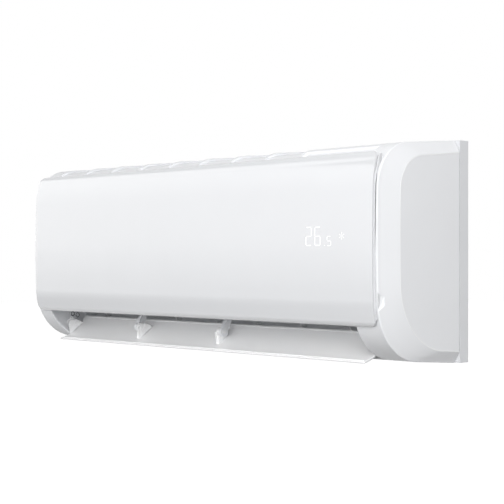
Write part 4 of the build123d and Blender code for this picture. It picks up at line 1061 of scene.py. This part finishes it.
    def flanks(self) -> Mesh:
        """Builds the returns behind the rim, which close the gap to the casing beside the hinge.

        Returns:
            Their mesh.
        """
        mesh = bmesh.new()
        low, knee, high = self.flank_z
        for end, near, far in ((knee, self.half_width - self.flank_inset, self.flank_x[0]),
                               (high, *self.flank_x)):
            heights = spread(low, end, self.flank_steps + 1)
            front = [(self.face(z) + self.flank_back, z) for z in heights]
            rear = [(CASING.front(z) - self.flank_gap, z) for z in heights if z < self.flank_turn]
            if end > self.flank_turn:
                rear += [(self.axis[0] + a, self.axis[1] + b) for a, b in self.flank_top]
            for side in (-1, 1):
                prism(mesh, View.SIDE, front + rear[::-1], side * near, side * far)
        soften(mesh, self.flank_edge, segments=3, angle=50.0)
        return mesh

    def build(self, dresser: Dresser) -> None:
        """Makes the panel's pieces.

        Args:
            dresser: takes the pieces.
        """
        dresser.piece("panel_flanks", self.flanks(), "panel_plastic", "panel")
        dresser.piece("panel_skin", self.skin(), "panel_plastic", "panel", ("front_panel",), smooth=24.0)
        dresser.piece("panel_ribs", self.back_ribs(), "panel_plastic", "panel")
        dresser.piece("panel_ears", self.ears(), "panel_plastic", "panel")


@dataclass
class Display:
    """The lit digits and snowflake that show through the panel.

    Attributes:
        panel: gives the face that the shapes lie in.
        digits: X and Z of each digit's corner, its width and its height.
        dot: middle of the point, and half its width.
        flake: middle of the snowflake, and the reach of its arms.
    """

    panel: FrontPanel
    proud: float = 0.05
    sunk: float = 0.3
    stroke: float = 1.35
    small_stroke: float = 1.0125
    small_high: float = 20.0
    gap: float = 0.25
    digits: tuple[tuple[str, float, float, float, float], ...] = (
        ("2", 246.0, 6.3, 10.6, 23.7), ("6", 261.2, 6.3, 10.6, 23.7), ("5", 282.2, 6.1, 7.3, 12.3))
    dot: Triple = (278.4, 6.9, 0.7)
    flake: Triple = (306.9, 18.1, 4.9)
    flake_arms: int = 6
    flake_core: float = 0.5
    flake_width: float = 0.5
    barb_share: float = 0.62
    barb_turn: float = 50.0
    barb: float = 1.3
    barb_width: float = 0.4

    SHAPES = {"2": "abged", "5": "afgcd", "6": "afgcde"}

    def bar(self, mesh: Mesh, first: Vector, last: Vector, width: float) -> None:
        """Adds a stroke with pointed ends between two points of the face.

        Args:
            mesh: mesh to add to.
            first: its start, in X and Z.
            last: its end.
            width: its width.
        """
        along = (last - first).normalized() * width / 2
        across = Vector((-along.y, along.x))
        outline = [first, first + along + across, last - along + across,
                   last, last - along - across, first + along - across]
        y = self.panel.face((first.y + last.y) / 2)
        lean = (self.panel.face(last.y) - self.panel.face(first.y)) / 2
        prism(mesh, View.FRONT, [tuple(p) for p in outline], y + self.sunk, y - self.proud - abs(lean))

    def add_digit(self, mesh: Mesh, digit: str, x: float, z: float, wide: float, high: float) -> None:
        """Adds one digit.

        Args:
            mesh: mesh to add to.
            digit: which digit.
            x: its left edge.
            z: its foot.
            wide: its width.
            high: its height.
        """
        width = self.stroke if high > self.small_high else self.small_stroke
        left, right = x + width / 2, x + wide - width / 2
        low, mid, top = z + width / 2, z + high / 2, z + high - width / 2
        ends = {"a": (left, top, right, top), "b": (right, top, right, mid), "c": (right, mid, right, low),
                "d": (left, low, right, low), "e": (left, mid, left, low), "f": (left, top, left, mid),
                "g": (left, mid, right, mid)}
        for name in self.SHAPES[digit]:
            first, last = Vector(ends[name][:2]), Vector(ends[name][2:])
            way = (last - first).normalized() * self.gap
            self.bar(mesh, first + way, last - way, width)

    def mesh(self) -> Mesh:
        """Builds all the lit shapes.

        Returns:
            Their mesh.
        """
        mesh = bmesh.new()
        for digit in self.digits:
            self.add_digit(mesh, *digit)
        x, z, half = self.dot
        self.bar(mesh, Vector((x - half, z)), Vector((x + half, z)), 2 * half)
        middle, reach = Vector(self.flake[:2]), self.flake[2]
        for arm in range(self.flake_arms):
            angle = math.tau * (arm + 0.5) / self.flake_arms
            way = Vector((math.cos(angle), math.sin(angle)))
            self.bar(mesh, middle + way * self.flake_core, middle + way * reach, self.flake_width)
            root = middle + way * reach * self.barb_share
            for turn in (-self.barb_turn, self.barb_turn):
                barb = Matrix.Rotation(math.radians(turn), 2) @ way * self.barb
                self.bar(mesh, root, root + barb, self.barb_width)
        return mesh

    def build(self, dresser: Dresser) -> None:
        """Makes the lit shapes, which ride with the panel."""
        dresser.piece("lit_figures", self.mesh(), "panel_plastic", "panel", finish="lit_segment")


# ------------------------------------------------------------------------------ the flap


@dataclass
class Flap:
    """The curved plate that hangs open under the nose."""

    pivot: Point = (-115.5, -111.3)
    open_angle: float = 68.0
    recess: float = 3.1
    thick: float = 3.0
    first: float = 211.7
    last: float = 262.8
    left: float = -328.0
    right: float = 318.0
    edge: float = 1.3
    steps: int = 26
    bead_angles: tuple[float, ...] = (214.2, 260.2)
    bead_turn: float = 0.8
    bead: float = 0.8
    bead_sunk: float = 0.3
    bead_end: float = 3.0

    def place(self, a: float, b: float) -> Point:
        """Places a point of the shut flap where the open flap has it.

        Args:
            a: how far the point lies behind the pivot.
            b: how far it lies above the pivot.

        Returns:
            Y and Z.
        """
        turn = math.radians(self.open_angle)
        return (self.pivot[0] + a * math.cos(turn) - b * math.sin(turn),
                self.pivot[1] + a * math.sin(turn) + b * math.cos(turn))

    def skin_point(self, angle: float, radius: float) -> Point:
        """Places a point about the nose's centre on the open flap.

        Args:
            angle: direction from the centre, in degrees.
            radius: distance from the centre.

        Returns:
            Y and Z.
        """
        y, z = CASING.lower
        return self.place(y - self.pivot[0] + radius * math.cos(math.radians(angle)),
                          z - self.pivot[1] + radius * math.sin(math.radians(angle)))

    def mesh(self) -> Mesh:
        """Builds the plate, with rounded edges and a bead along each edge of its hollow side.

        Returns:
            Its mesh.
        """
        outer = CASING.lower_radius - self.recess
        inner = outer - self.thick
        turns = spread(self.first, self.last, self.steps + 1)
        outline = [self.skin_point(a, outer) for a in turns]
        outline += [self.skin_point(a, inner) for a in reversed(turns)]
        mesh = bmesh.new()
        prism(mesh, View.SIDE, outline, self.left, self.right)
        soften(mesh, self.edge, segments=4, angle=40.0)
        foot, head = inner + self.bead_sunk, inner - self.bead
        for angle in self.bead_angles:
            end = angle + self.bead_turn
            corners = [self.skin_point(*c) for c in ((angle, foot), (angle, head), (end, head), (end, foot))]
            prism(mesh, View.SIDE, corners, self.left + self.bead_end, self.right - self.bead_end)
        return mesh

    def build(self, dresser: Dresser) -> None:
        """Makes the plate."""
        dresser.piece("flap_plate", self.mesh(), "flap_plastic", "flap", ("flap",), smooth=24.0)


@dataclass
class FlapFans:
    """The fluted fans that carry the flap, and the collars and strips of the arms that hold them.

    Attributes:
        flap: gives the place of a point on the open flap.
        apex: where a fan's ribs meet on the flap, seen from the pivot of the shut flap.
        tops: upper end of each rib, and how far it stands out sideways.
        places: X of each fan's foot and the way that it spreads.
        arms: X of the two faces of each arm, and 1 where the free face looks right.
        ring: outer radius, bore and height of the ring round the pin.
        strips: foot and knee of each strip, seen from the pivot, and height of its head.
        strip_starts: share of the way from foot to knee where the strips begin, on the free
            face and on the other one.
        strip_ends: steps from the head, the knee and the start to the strip's other edge.
    """

    flap: Flap
    apex: Point = (-17.4, -1.6)
    tops: tuple[Triple, ...] = (
        (-3.4, 7.2, 0.0), (3.4, 3.0, 0.8), (6.2, -3.2, 2.4), (6.6, -9.0, 4.2), (5.2, -13.0, 6.2))
    places: tuple[tuple[float, int], ...] = ((-328.0, 1), (-149.5, 1), (25.5, -1), (318.0, -1))
    arms: tuple[tuple[float, float, int], ...] = ((-159.8, -154.8, -1), (30.8, 35.8, 1))
    rib_foot: float = 0.35
    rib_top: float = 0.65
    proud: float = 0.6
    web: float = 0.9
    web_proud: float = 0.1
    collar: float = 6.6
    collar_bore: float = 5.3
    ring: Triple = (3.8, 2.8, 0.6)
    strips: tuple[tuple[Point, Point, float], ...] = (
        ((-4.4, 2.8), (8.4, 24.0), 40.4), ((3.4, -1.8), (14.1, 20.7), 44.6))
    strip_starts: Point = (0.30, 0.55)
    strip_high: float = 0.6
    strip_ends: tuple[Point, Point, Point] = ((1.3, 0.0), (1.3, -0.4), (1.2, -0.7))
    sunk: float = 0.1

    def at(self, place: float, way: int, a: float, b: float, out: float) -> Vector:
        """A point of a fan on the open flap, in the row frame."""
        return Vector((place + way * out, *self.flap.place(a, b)))

    def fans(self) -> Mesh:
        """Builds all the fans: slim ribs with a thin web between them.

        Returns:
            Their mesh.
        """
        mesh = bmesh.new()
        for place, way in self.places:
            for a, b, out in self.tops:
                run = Vector((a - self.apex[0], b - self.apex[1])).normalized()
                points = []
                for (pa, pb), half, level in ((self.apex, self.rib_foot, 0.0), ((a, b), self.rib_top, out)):
                    points += [self.at(place, way, pa - run.y * half * k, pb + run.x * half * k, level + h)
                               for k in (-1, 1) for h in (-self.web, self.proud)]
                hull(mesh, points)
            for near, far in zip(self.tops, self.tops[1:]):
                hull(mesh, [self.at(place, way, a, b, out + h)
                            for a, b, out in ((*self.apex, 0.0), near, far)
                            for h in (-self.web, self.web_proud)])
        return mesh

    def collars(self) -> Mesh:
        """Builds a collar round each arm's boss, a ring round the pin and the strips on the arm.

        Returns:
            Their mesh.
        """
        mesh = bmesh.new()
        y, z = self.flap.pivot
        outer, inner, high = self.ring
        for left, right, free in self.arms:
            ring(mesh, (left + self.sunk, y, z), (1, 0, 0), self.collar, self.collar_bore,
                 right - left - 2 * self.sunk)
            face = right if free > 0 else left
            ring(mesh, (face - free * self.sunk, y, z), (free, 0, 0), outer, inner, high)
            for way, start in zip((free, -free), self.strip_starts):
                face = right if way > 0 else left
                for foot, knee, head in self.strips:
                    first = tuple(f + (k - f) * start for f, k in zip(foot, knee))
                    outline = [first, knee, (knee[0], head)]
                    outline += [(a + da, b + db)
                                for (a, b), (da, db) in zip(reversed(outline), self.strip_ends)]
                    prism(mesh, View.SIDE, [(y + a, z + b) for a, b in outline],
                          face - way * self.sunk, face + way * self.strip_high)
        return mesh

    def build(self, dresser: Dresser) -> None:
        """Makes the fans and the collars."""
        dresser.piece("flap_fans", self.fans(), "flap_plastic", "flap", smooth=20.0)
        dresser.piece("arm_collars", self.collars(), "casing_plastic", "root")


@dataclass
class CheekRings:
    """The light caps with a dark ring round them, on the left cheek's inner wall.

    Attributes:
        face: X of the caps' faces.
        places: Y and Z of each cap.
        dark: outer and inner radius of the dark rings.
        high: how far the rings stand out.
        sunk: how far they reach into the caps.
        middle_high: how far the light middles stand out.
        middle_sunk: how far these reach into the caps.
        gap: step between a ring and its middle.
    """

    face: float
    places: tuple[Point, ...] = ((-110.0, -98.0), (-100.5, -100.0))
    dark: Point = (3.7, 2.7)
    high: float = 0.15
    sunk: float = 0.3
    middle_high: float = 0.09
    middle_sunk: float = 1.2
    gap: float = 0.05

    def build(self, dresser: Dresser) -> None:
        """Makes the dark rings and the caps' middles.

        Args:
            dresser: takes the pieces.
        """
        shade, middle = bmesh.new(), bmesh.new()
        for y, z in self.places:
            ring(shade, (self.face - self.sunk, y, z), (1, 0, 0), *self.dark, self.sunk + self.high)
            rod(middle, (self.face - self.middle_sunk, y, z), (self.face + self.middle_high, y, z),
                self.dark[1] - self.gap)
        dresser.piece("cheek_ring_shades", shade, "casing_plastic", "root", finish="groove_shade")
        dresser.piece("cheek_ring_middles", middle, "casing_plastic", "root")


# ------------------------------------------------------------------------------ inside


@dataclass
class FinStacks:
    """The heat exchanger's three stacks of thin fins."""

    left: float = -318.0
    right: float = 250.0
    pitch: float = 2.0
    fin: float = 0.3
    thick: float = 24.0
    stacks: tuple[tuple[str, Point, Point], ...] = (
        ("coil_rear", (-70.0, 96.0), (-24.0, 43.0)),
        ("coil_upper", (-128.0, 46.0), (-91.0, 96.0)),
        ("coil_lower", (-134.0, -52.0), (-134.0, 38.0)))

    def mesh(self, start: Point, end: Point) -> Mesh:
        """Builds one stack.

        Args:
            start: one end of its middle line, in Y and Z.
            end: the other end.

        Returns:
            Its mesh.
        """
        run = Vector((end[0] - start[0], end[1] - start[1])).normalized()
        side = Vector((-run.y, run.x)) * self.thick / 2
        a, b = Vector(start), Vector(end)
        outline = [tuple(p) for p in (a + side, b + side, b - side, a - side)]
        mesh = bmesh.new()
        for k in range(int((self.right - self.left) / self.pitch) + 1):
            x = min(self.left + k * self.pitch, self.right - self.fin)
            prism(mesh, View.SIDE, outline, x, x + self.fin)
        return mesh

    def build(self, dresser: Dresser) -> None:
        """Makes the three stacks."""
        for node, start, end in self.stacks:
            dresser.piece(f"{node}_fins", self.mesh(start, end), "fin_aluminium", "root", (node,))


@dataclass
class AirFilters:
    """The two filters: a bent frame with ribs, and a net of fine cords."""

    foot: Point = (-155.0, -73.0)
    knee: Point = (-155.0, 40.0)
    top: Point = (-108.5, 104.0)
    frame: float = 1.6
    cord: float = 0.36
    pitch: float = 3.2
    rim: float = 8.0
    rib: float = 2.4
    uprights: int = 5
    level_share: float = 0.98
    level_inset: float = 0.2
    net_inset: float = 1.0
    tab_half: float = 22.0
    tab_out: float = 3.2
    tab_z: Point = (2.0, 9.0)
    tab_edge: float = 0.5
    spans: tuple[tuple[str, float, float], ...] = (
        ("filter_left", -318.0, -34.0), ("filter_right", -26.0, 232.0))

    @property
    def lower(self) -> float:
        """Length of the upright part."""
        return self.knee[1] - self.foot[1]

    @property
    def full(self) -> float:
        """Length of the whole filter, from its foot to its top."""
        return self.lower + (Vector(self.top) - Vector(self.knee)).length

    def strip(self, thick: float, start: float, end: float) -> list[Point]:
        """Side outline of the filter between two distances up from its foot.

        Args:
            thick: thickness of the strip.
            start: distance at which it begins.
            end: distance at which it ends.

        Returns:
            Corners in Y and Z.
        """
        foot, knee, half = Vector(self.foot), Vector(self.knee), thick / 2
        way = (Vector(self.top) - knee).normalized()
        middle = []
        for distance in (start, end):
            if distance <= self.lower:
                middle.append((foot + Vector((0, distance)), Vector((-half, 0))))
            else:
                middle.append((knee + way * (distance - self.lower), Vector((-way.y, way.x)) * half))
        if start < self.lower < end:
            mitre = math.tan(math.atan2(way.x, way.y) / 2)
            middle.insert(1, (knee, Vector((-half, half * mitre))))
        return [tuple(p + s) for p, s in middle] + [tuple(p - s) for p, s in reversed(middle)]

    def frame_mesh(self, left: float, right: float) -> Mesh:
        """Builds the rims, ribs and finger tab of one filter.

        Args:
            left: its left edge.
            right: its right edge.

        Returns:
            Their mesh.
        """
        mesh = bmesh.new()
        for k in range(self.uprights):
            width = self.rim if k in (0, self.uprights - 1) else self.rib
            x = left + (right - left - width) * k / (self.uprights - 1)
            prism(mesh, View.SIDE, self.strip(self.frame, 0.0, self.full), x, x + width)
        half, knee = self.lower / 2, self.lower
        for start, end in ((0.0, self.rim), (half, half + self.rib), (knee - self.rib, knee + self.rib),
                           (self.full - self.rim, self.full)):
            prism(mesh, View.SIDE, self.strip(self.frame * self.level_share, start, end),
                  left + self.level_inset, right - self.level_inset)
        middle, (y, z), (low, high) = (left + right) / 2, self.foot, self.tab_z
        tab = block(mesh, (middle - self.tab_half, y - self.tab_out, z + low),
                    (middle + self.tab_half, y, z + high))
        soften(mesh, self.tab_edge, angle=60.0, edges=list({e for v in tab for e in v.link_edges}))
        return mesh

    def net_mesh(self, left: float, right: float) -> Mesh:
        """Builds the net of one filter.

        Args:
            left: the filter's left edge.
            right: its right edge.

        Returns:
            The net's mesh.
        """
        mesh = bmesh.new()
        half = self.cord / 2
        upright = self.strip(self.cord, self.net_inset, self.full - self.net_inset)
        for k in range(1, int((right - left) / self.pitch)):
            x = left + k * self.pitch
            prism(mesh, View.SIDE, upright, x - half, x + half)
        for k in range(1, int(self.full / self.pitch)):
            at = k * self.pitch
            prism(mesh, View.SIDE, self.strip(self.cord, at - half, at + half),
                  left + self.net_inset, right - self.net_inset)
        return mesh

    def build(self, dresser: Dresser) -> None:
        """Makes both filters.

        Args:
            dresser: takes the pieces.
        """
        for node, left, right in self.spans:
            dresser.piece(f"{node}_frame", self.frame_mesh(left, right), "filter_plastic", "root", (node,))
            dresser.piece(f"{node}_net", self.net_mesh(left, right), "filter_plastic", "root")


@dataclass
class ChassisBack:
    """A lattice of ribs on the chassis' hidden face, around the wall plate."""

    front: float = -5.3
    rear: float = -1.2
    level_rear: float = -1.5
    half_width: float = 362.0
    top: float = 134.0
    bottom: float = -95.0
    plate: Point = (266.0, 101.0)
    rib: float = 1.6
    side_gap: float = 4.0
    side_pitch: float = 29.0
    side_count: int = 4
    side_levels: tuple[float, ...] = (-80.0, -40.0, 0.0, 40.0, 80.0, 120.0)
    top_count: int = 10
    top_gap: float = 3.0
    top_level: float = 14.0

    def ribs(self) -> Mesh:
        """Builds the lattice.

        Returns:
            Its mesh.
        """
        mesh = bmesh.new()
        wide, high = self.plate
        half, near, level = self.rib / 2, wide + self.side_gap, high + self.top_level
        spans = []
        for side in (-1, 1):
            for k in range(self.side_count):
                x = side * (near + k * self.side_pitch)
                spans.append((x - half, x + half, self.bottom, self.top, self.rear))
            left, right = sorted((side * near, side * self.half_width))
            spans += [(left, right, z - half, z + half, self.level_rear) for z in self.side_levels]
        spans += [(x - half, x + half, high + self.top_gap, self.top, self.rear)
                  for x in spread(-wide, wide, self.top_count)]
        spans.append((-wide, wide, level, level + self.rib, self.level_rear))
        for left, right, low, head, rear in spans:
            block(mesh, (left, self.front, low), (right, rear, head))
        return mesh

    def build(self, dresser: Dresser) -> None:
        """Makes the ribs."""
        dresser.piece("chassis_ribs", self.ribs(), "back_plastic", "root")


@dataclass
class Fasteners:
    """Screws of the electrics that show when the panel is open."""

    cover_y: float = -142.0
    cover_x: Point = (322.0, 350.0)
    cover_z: Point = (-51.5, 95.0)
    cover_radius: float = 2.4
    block: Point = (338.0, -28.0)
    block_columns: Point = (-7.0, 7.0)
    block_rows: tuple[float, ...] = (-13.5, -4.5, 4.5, 13.5)
    block_y: float = -147.0
    block_radius: float = 2.3

    def build(self, dresser: Dresser) -> None:
        """Makes the heads and their crosses, which are painted shade of the cross recesses.

        Args:
            dresser: takes the pieces.
        """
        x, z = self.block
        on_cover = [(a, self.cover_y, b) for a in self.cover_x for b in self.cover_z]
        on_block = [(x + a, self.block_y, z + b) for a in self.block_columns for b in self.block_rows]
        heads, recess_shades = bmesh.new(), bmesh.new()
        for radius, places in ((self.cover_radius, on_cover), (self.block_radius, on_block)):
            for place in places:
                ScrewHead(radius).add(heads, recess_shades, Vector(place), Vector((0, -1, 0)))
        dresser.piece("screw_heads", heads, "shaft_steel", "root")
        # painted shade: the dark crosses stand for the shadow inside each cross recess
        dresser.piece("screw_recess_shades", recess_shades, "terminal_dark", "root")


# ------------------------------------------------------------------------------ the studio


@dataclass
class Studio:
    """Camera, lamps, world and floor, in metres.

    Attributes:
        sky: level of the soft light from above.
        ground: level of the soft light from below.
        horizon: slopes between which the soft light runs from the ground's level to the sky's.
        key_box: X, Y, width and level of the tall soft box.
        key_aim: X and Y of the line that it looks at.
        key_strips: heights of its strips' edges, and the share of light of the strip above each.
        lamps: name, place, target, width, height and power of each soft box.
        floor_dull: colour by which the floor lights the object.
        floor_pale: colour of the floor to the camera.
        floor_glow: what makes it look white where it isn't in shadow.
    """

    eye: Triple = (1.3512, -1.2897, -0.0090)
    heading: float = 47.0
    lens: float = 90.54
    shift: float = 0.0127
    far: float = 60.0
    floor_level: float = -0.9
    floor_half: float = 20.0
    sky: float = 0.3
    ground: float = 0.38
    horizon: Point = (-0.5, 0.6)
    key_box: tuple[float, float, float, float] = (-2.2, -2.1, 2.8, 5.0)
    key_aim: Point = (-0.11, -0.17)
    key_strips: tuple[Point, ...] = (
        (1.6, 1.0), (0.0, 1.0), (-0.12, 0.8), (-0.24, 0.6), (-0.36, 0.35), (-0.55, 0.15))
    lamps: tuple[Lamp, ...] = (
        ("high", (0.3, -2.2, 1.9), (0.0, -0.15, -0.1), 2.4, 0.9, 1.0),
        ("front_right", (1.2, -2.5, 1.0), (0.2, -0.16, -0.05), 1.4, 1.2, 4.0),
        ("level", (0.9, -2.6, 0.05), (0.1, -0.16, -0.05), 2.3, 1.4, 19.0),
        ("right_front", (2.3, -2.0, 1.1), (0.37, -0.1, 0.0), 1.4, 1.4, 46.0),
        ("right", (1.8, -0.8, 1.2), (0.37, -0.1, 0.08), 1.0, 1.0, 12.0))
    floor_dull: float = 0.22
    floor_pale: float = 0.6
    floor_glow: float = 0.93

    def camera(self) -> None:
        """Sets the camera at the photograph's angle."""
        data = bpy.data.cameras.new("camera")
        data.lens, data.shift_y, data.clip_end = self.lens, self.shift, self.far
        eye = put("camera", data)
        eye.location = self.eye
        eye.rotation_euler = (math.pi / 2, 0.0, math.radians(self.heading))
        bpy.context.scene.camera = eye

    def key(self) -> list[Lamp]:
        """Lists the strips of the tall soft box that the panel mirrors, which fade to its foot.

        Returns:
            A lamp for each strip.
        """
        x, y, wide, level = self.key_box
        found = []
        for (top, _), (low, share) in zip(self.key_strips, self.key_strips[1:]):
            middle, high = (top + low) / 2, top - low
            found.append((f"key_{len(found)}", (x, y, middle), (*self.key_aim, middle), wide, high,
                          level * share * wide * high))
        return found

    def light(self) -> None:
        """Hangs the soft boxes."""
        for name, place, target, wide, high, power in (*self.lamps, *self.key()):
            data = bpy.data.lights.new(name, "AREA")
            data.shape = "RECTANGLE"
            data.size, data.size_y, data.energy = wide, high, power
            lamp = put(name, data)
            lamp.location = place
            lamp.rotation_euler = (Vector(target) - Vector(place)).to_track_quat("-Z", "Y").to_euler()

    @staticmethod
    def split(graph: Graph, lit: Socket, shown: Socket, output: str) -> None:
        """Lights the object by one shader, and shows another to the camera, gloss and glass.

        Args:
            graph: graph of the world or of a material.
            lit: shader that lights the object.
            shown: shader that is seen.
            output: type of the graph's output node.
        """
        path = graph.add("LightPath").outputs
        seen = path["Is Camera Ray"]
        for name in ("Is Glossy Ray", "Is Transmission Ray"):
            seen = graph.add("Math", {0: seen, 1: path[name]}, operation="ADD", use_clamp=True).outputs[0]
        mix = graph.add("MixShader", {"Fac": seen, 1: lit, 2: shown})
        graph.add(output, {"Surface": mix.outputs[0]})

    def world(self) -> None:
        """A white world to look at, and a soft grey one that lights the object."""
        world = bpy.data.worlds.new("studio")
        bpy.context.scene.world = world
        world.use_nodes = True
        graph = Graph(world.node_tree)
        graph.tree.nodes.clear()
        way = graph.add("SeparateXYZ", {"Vector": graph.add("TexCoord").outputs["Generated"]})
        level = graph.mapped(way.outputs["Z"], self.ground, self.sky, *self.horizon)
        soft = graph.add("Background", {"Strength": level})
        white = graph.add("Background", {"Color": (1.0, 1.0, 1.0, 1.0)})
        self.split(graph, soft.outputs[0], white.outputs[0], "OutputWorld")

    def floor(self) -> None:
        """A pale floor that looks white where it isn't in shadow."""
        mesh = bmesh.new()
        bmesh.ops.create_grid(mesh, x_segments=2, y_segments=2, size=self.floor_half,
                              matrix=Matrix.Translation((0, 0, self.floor_level)))
        data = bpy.data.meshes.new("floor")
        mesh.to_mesh(data)
        mesh.free()
        material, graph = Graph.material("pale_floor")
        graph.tree.nodes.clear()
        dull, pale = (graph.add("BsdfDiffuse", {"Color": (level, level, level, 1.0)}).outputs[0]
                      for level in (self.floor_dull, self.floor_pale))
        glow = graph.add("Emission", {"Strength": self.floor_glow})
        both = graph.add("AddShader", {0: pale, 1: glow.outputs[0]})
        self.split(graph, dull, both.outputs[0], "OutputMaterial")
        data.materials.append(material)
        floor = put("floor", data)

    def build(self) -> None:
        """Sets up everything that isn't the object."""
        bpy.context.scene.view_settings.view_transform = "Standard"
        self.camera()
        self.light()
        self.world()
        self.floor()


def main() -> None:
    """Builds the unit around its frame."""
    logging.basicConfig(level=logging.INFO, format="%(message)s")
    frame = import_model()
    dresser = Dresser(frame)
    dresser.dress_nodes()
    Studio().build()
    panel = FrontPanel()
    flap = Flap()
    cap_face = max(v[0] for v in frame["nodes"]["cheek_caps"].bound_box) / MM
    for maker in (SideCovers(), panel, Display(panel), flap, FlapFans(flap), CheekRings(cap_face),
                  FinStacks(), AirFilters(), ChassisBack(), Fasteners()):
        LOG.info("building %s", type(maker).__name__)
        maker.build(dresser)


if __name__ == "__main__":
    main()
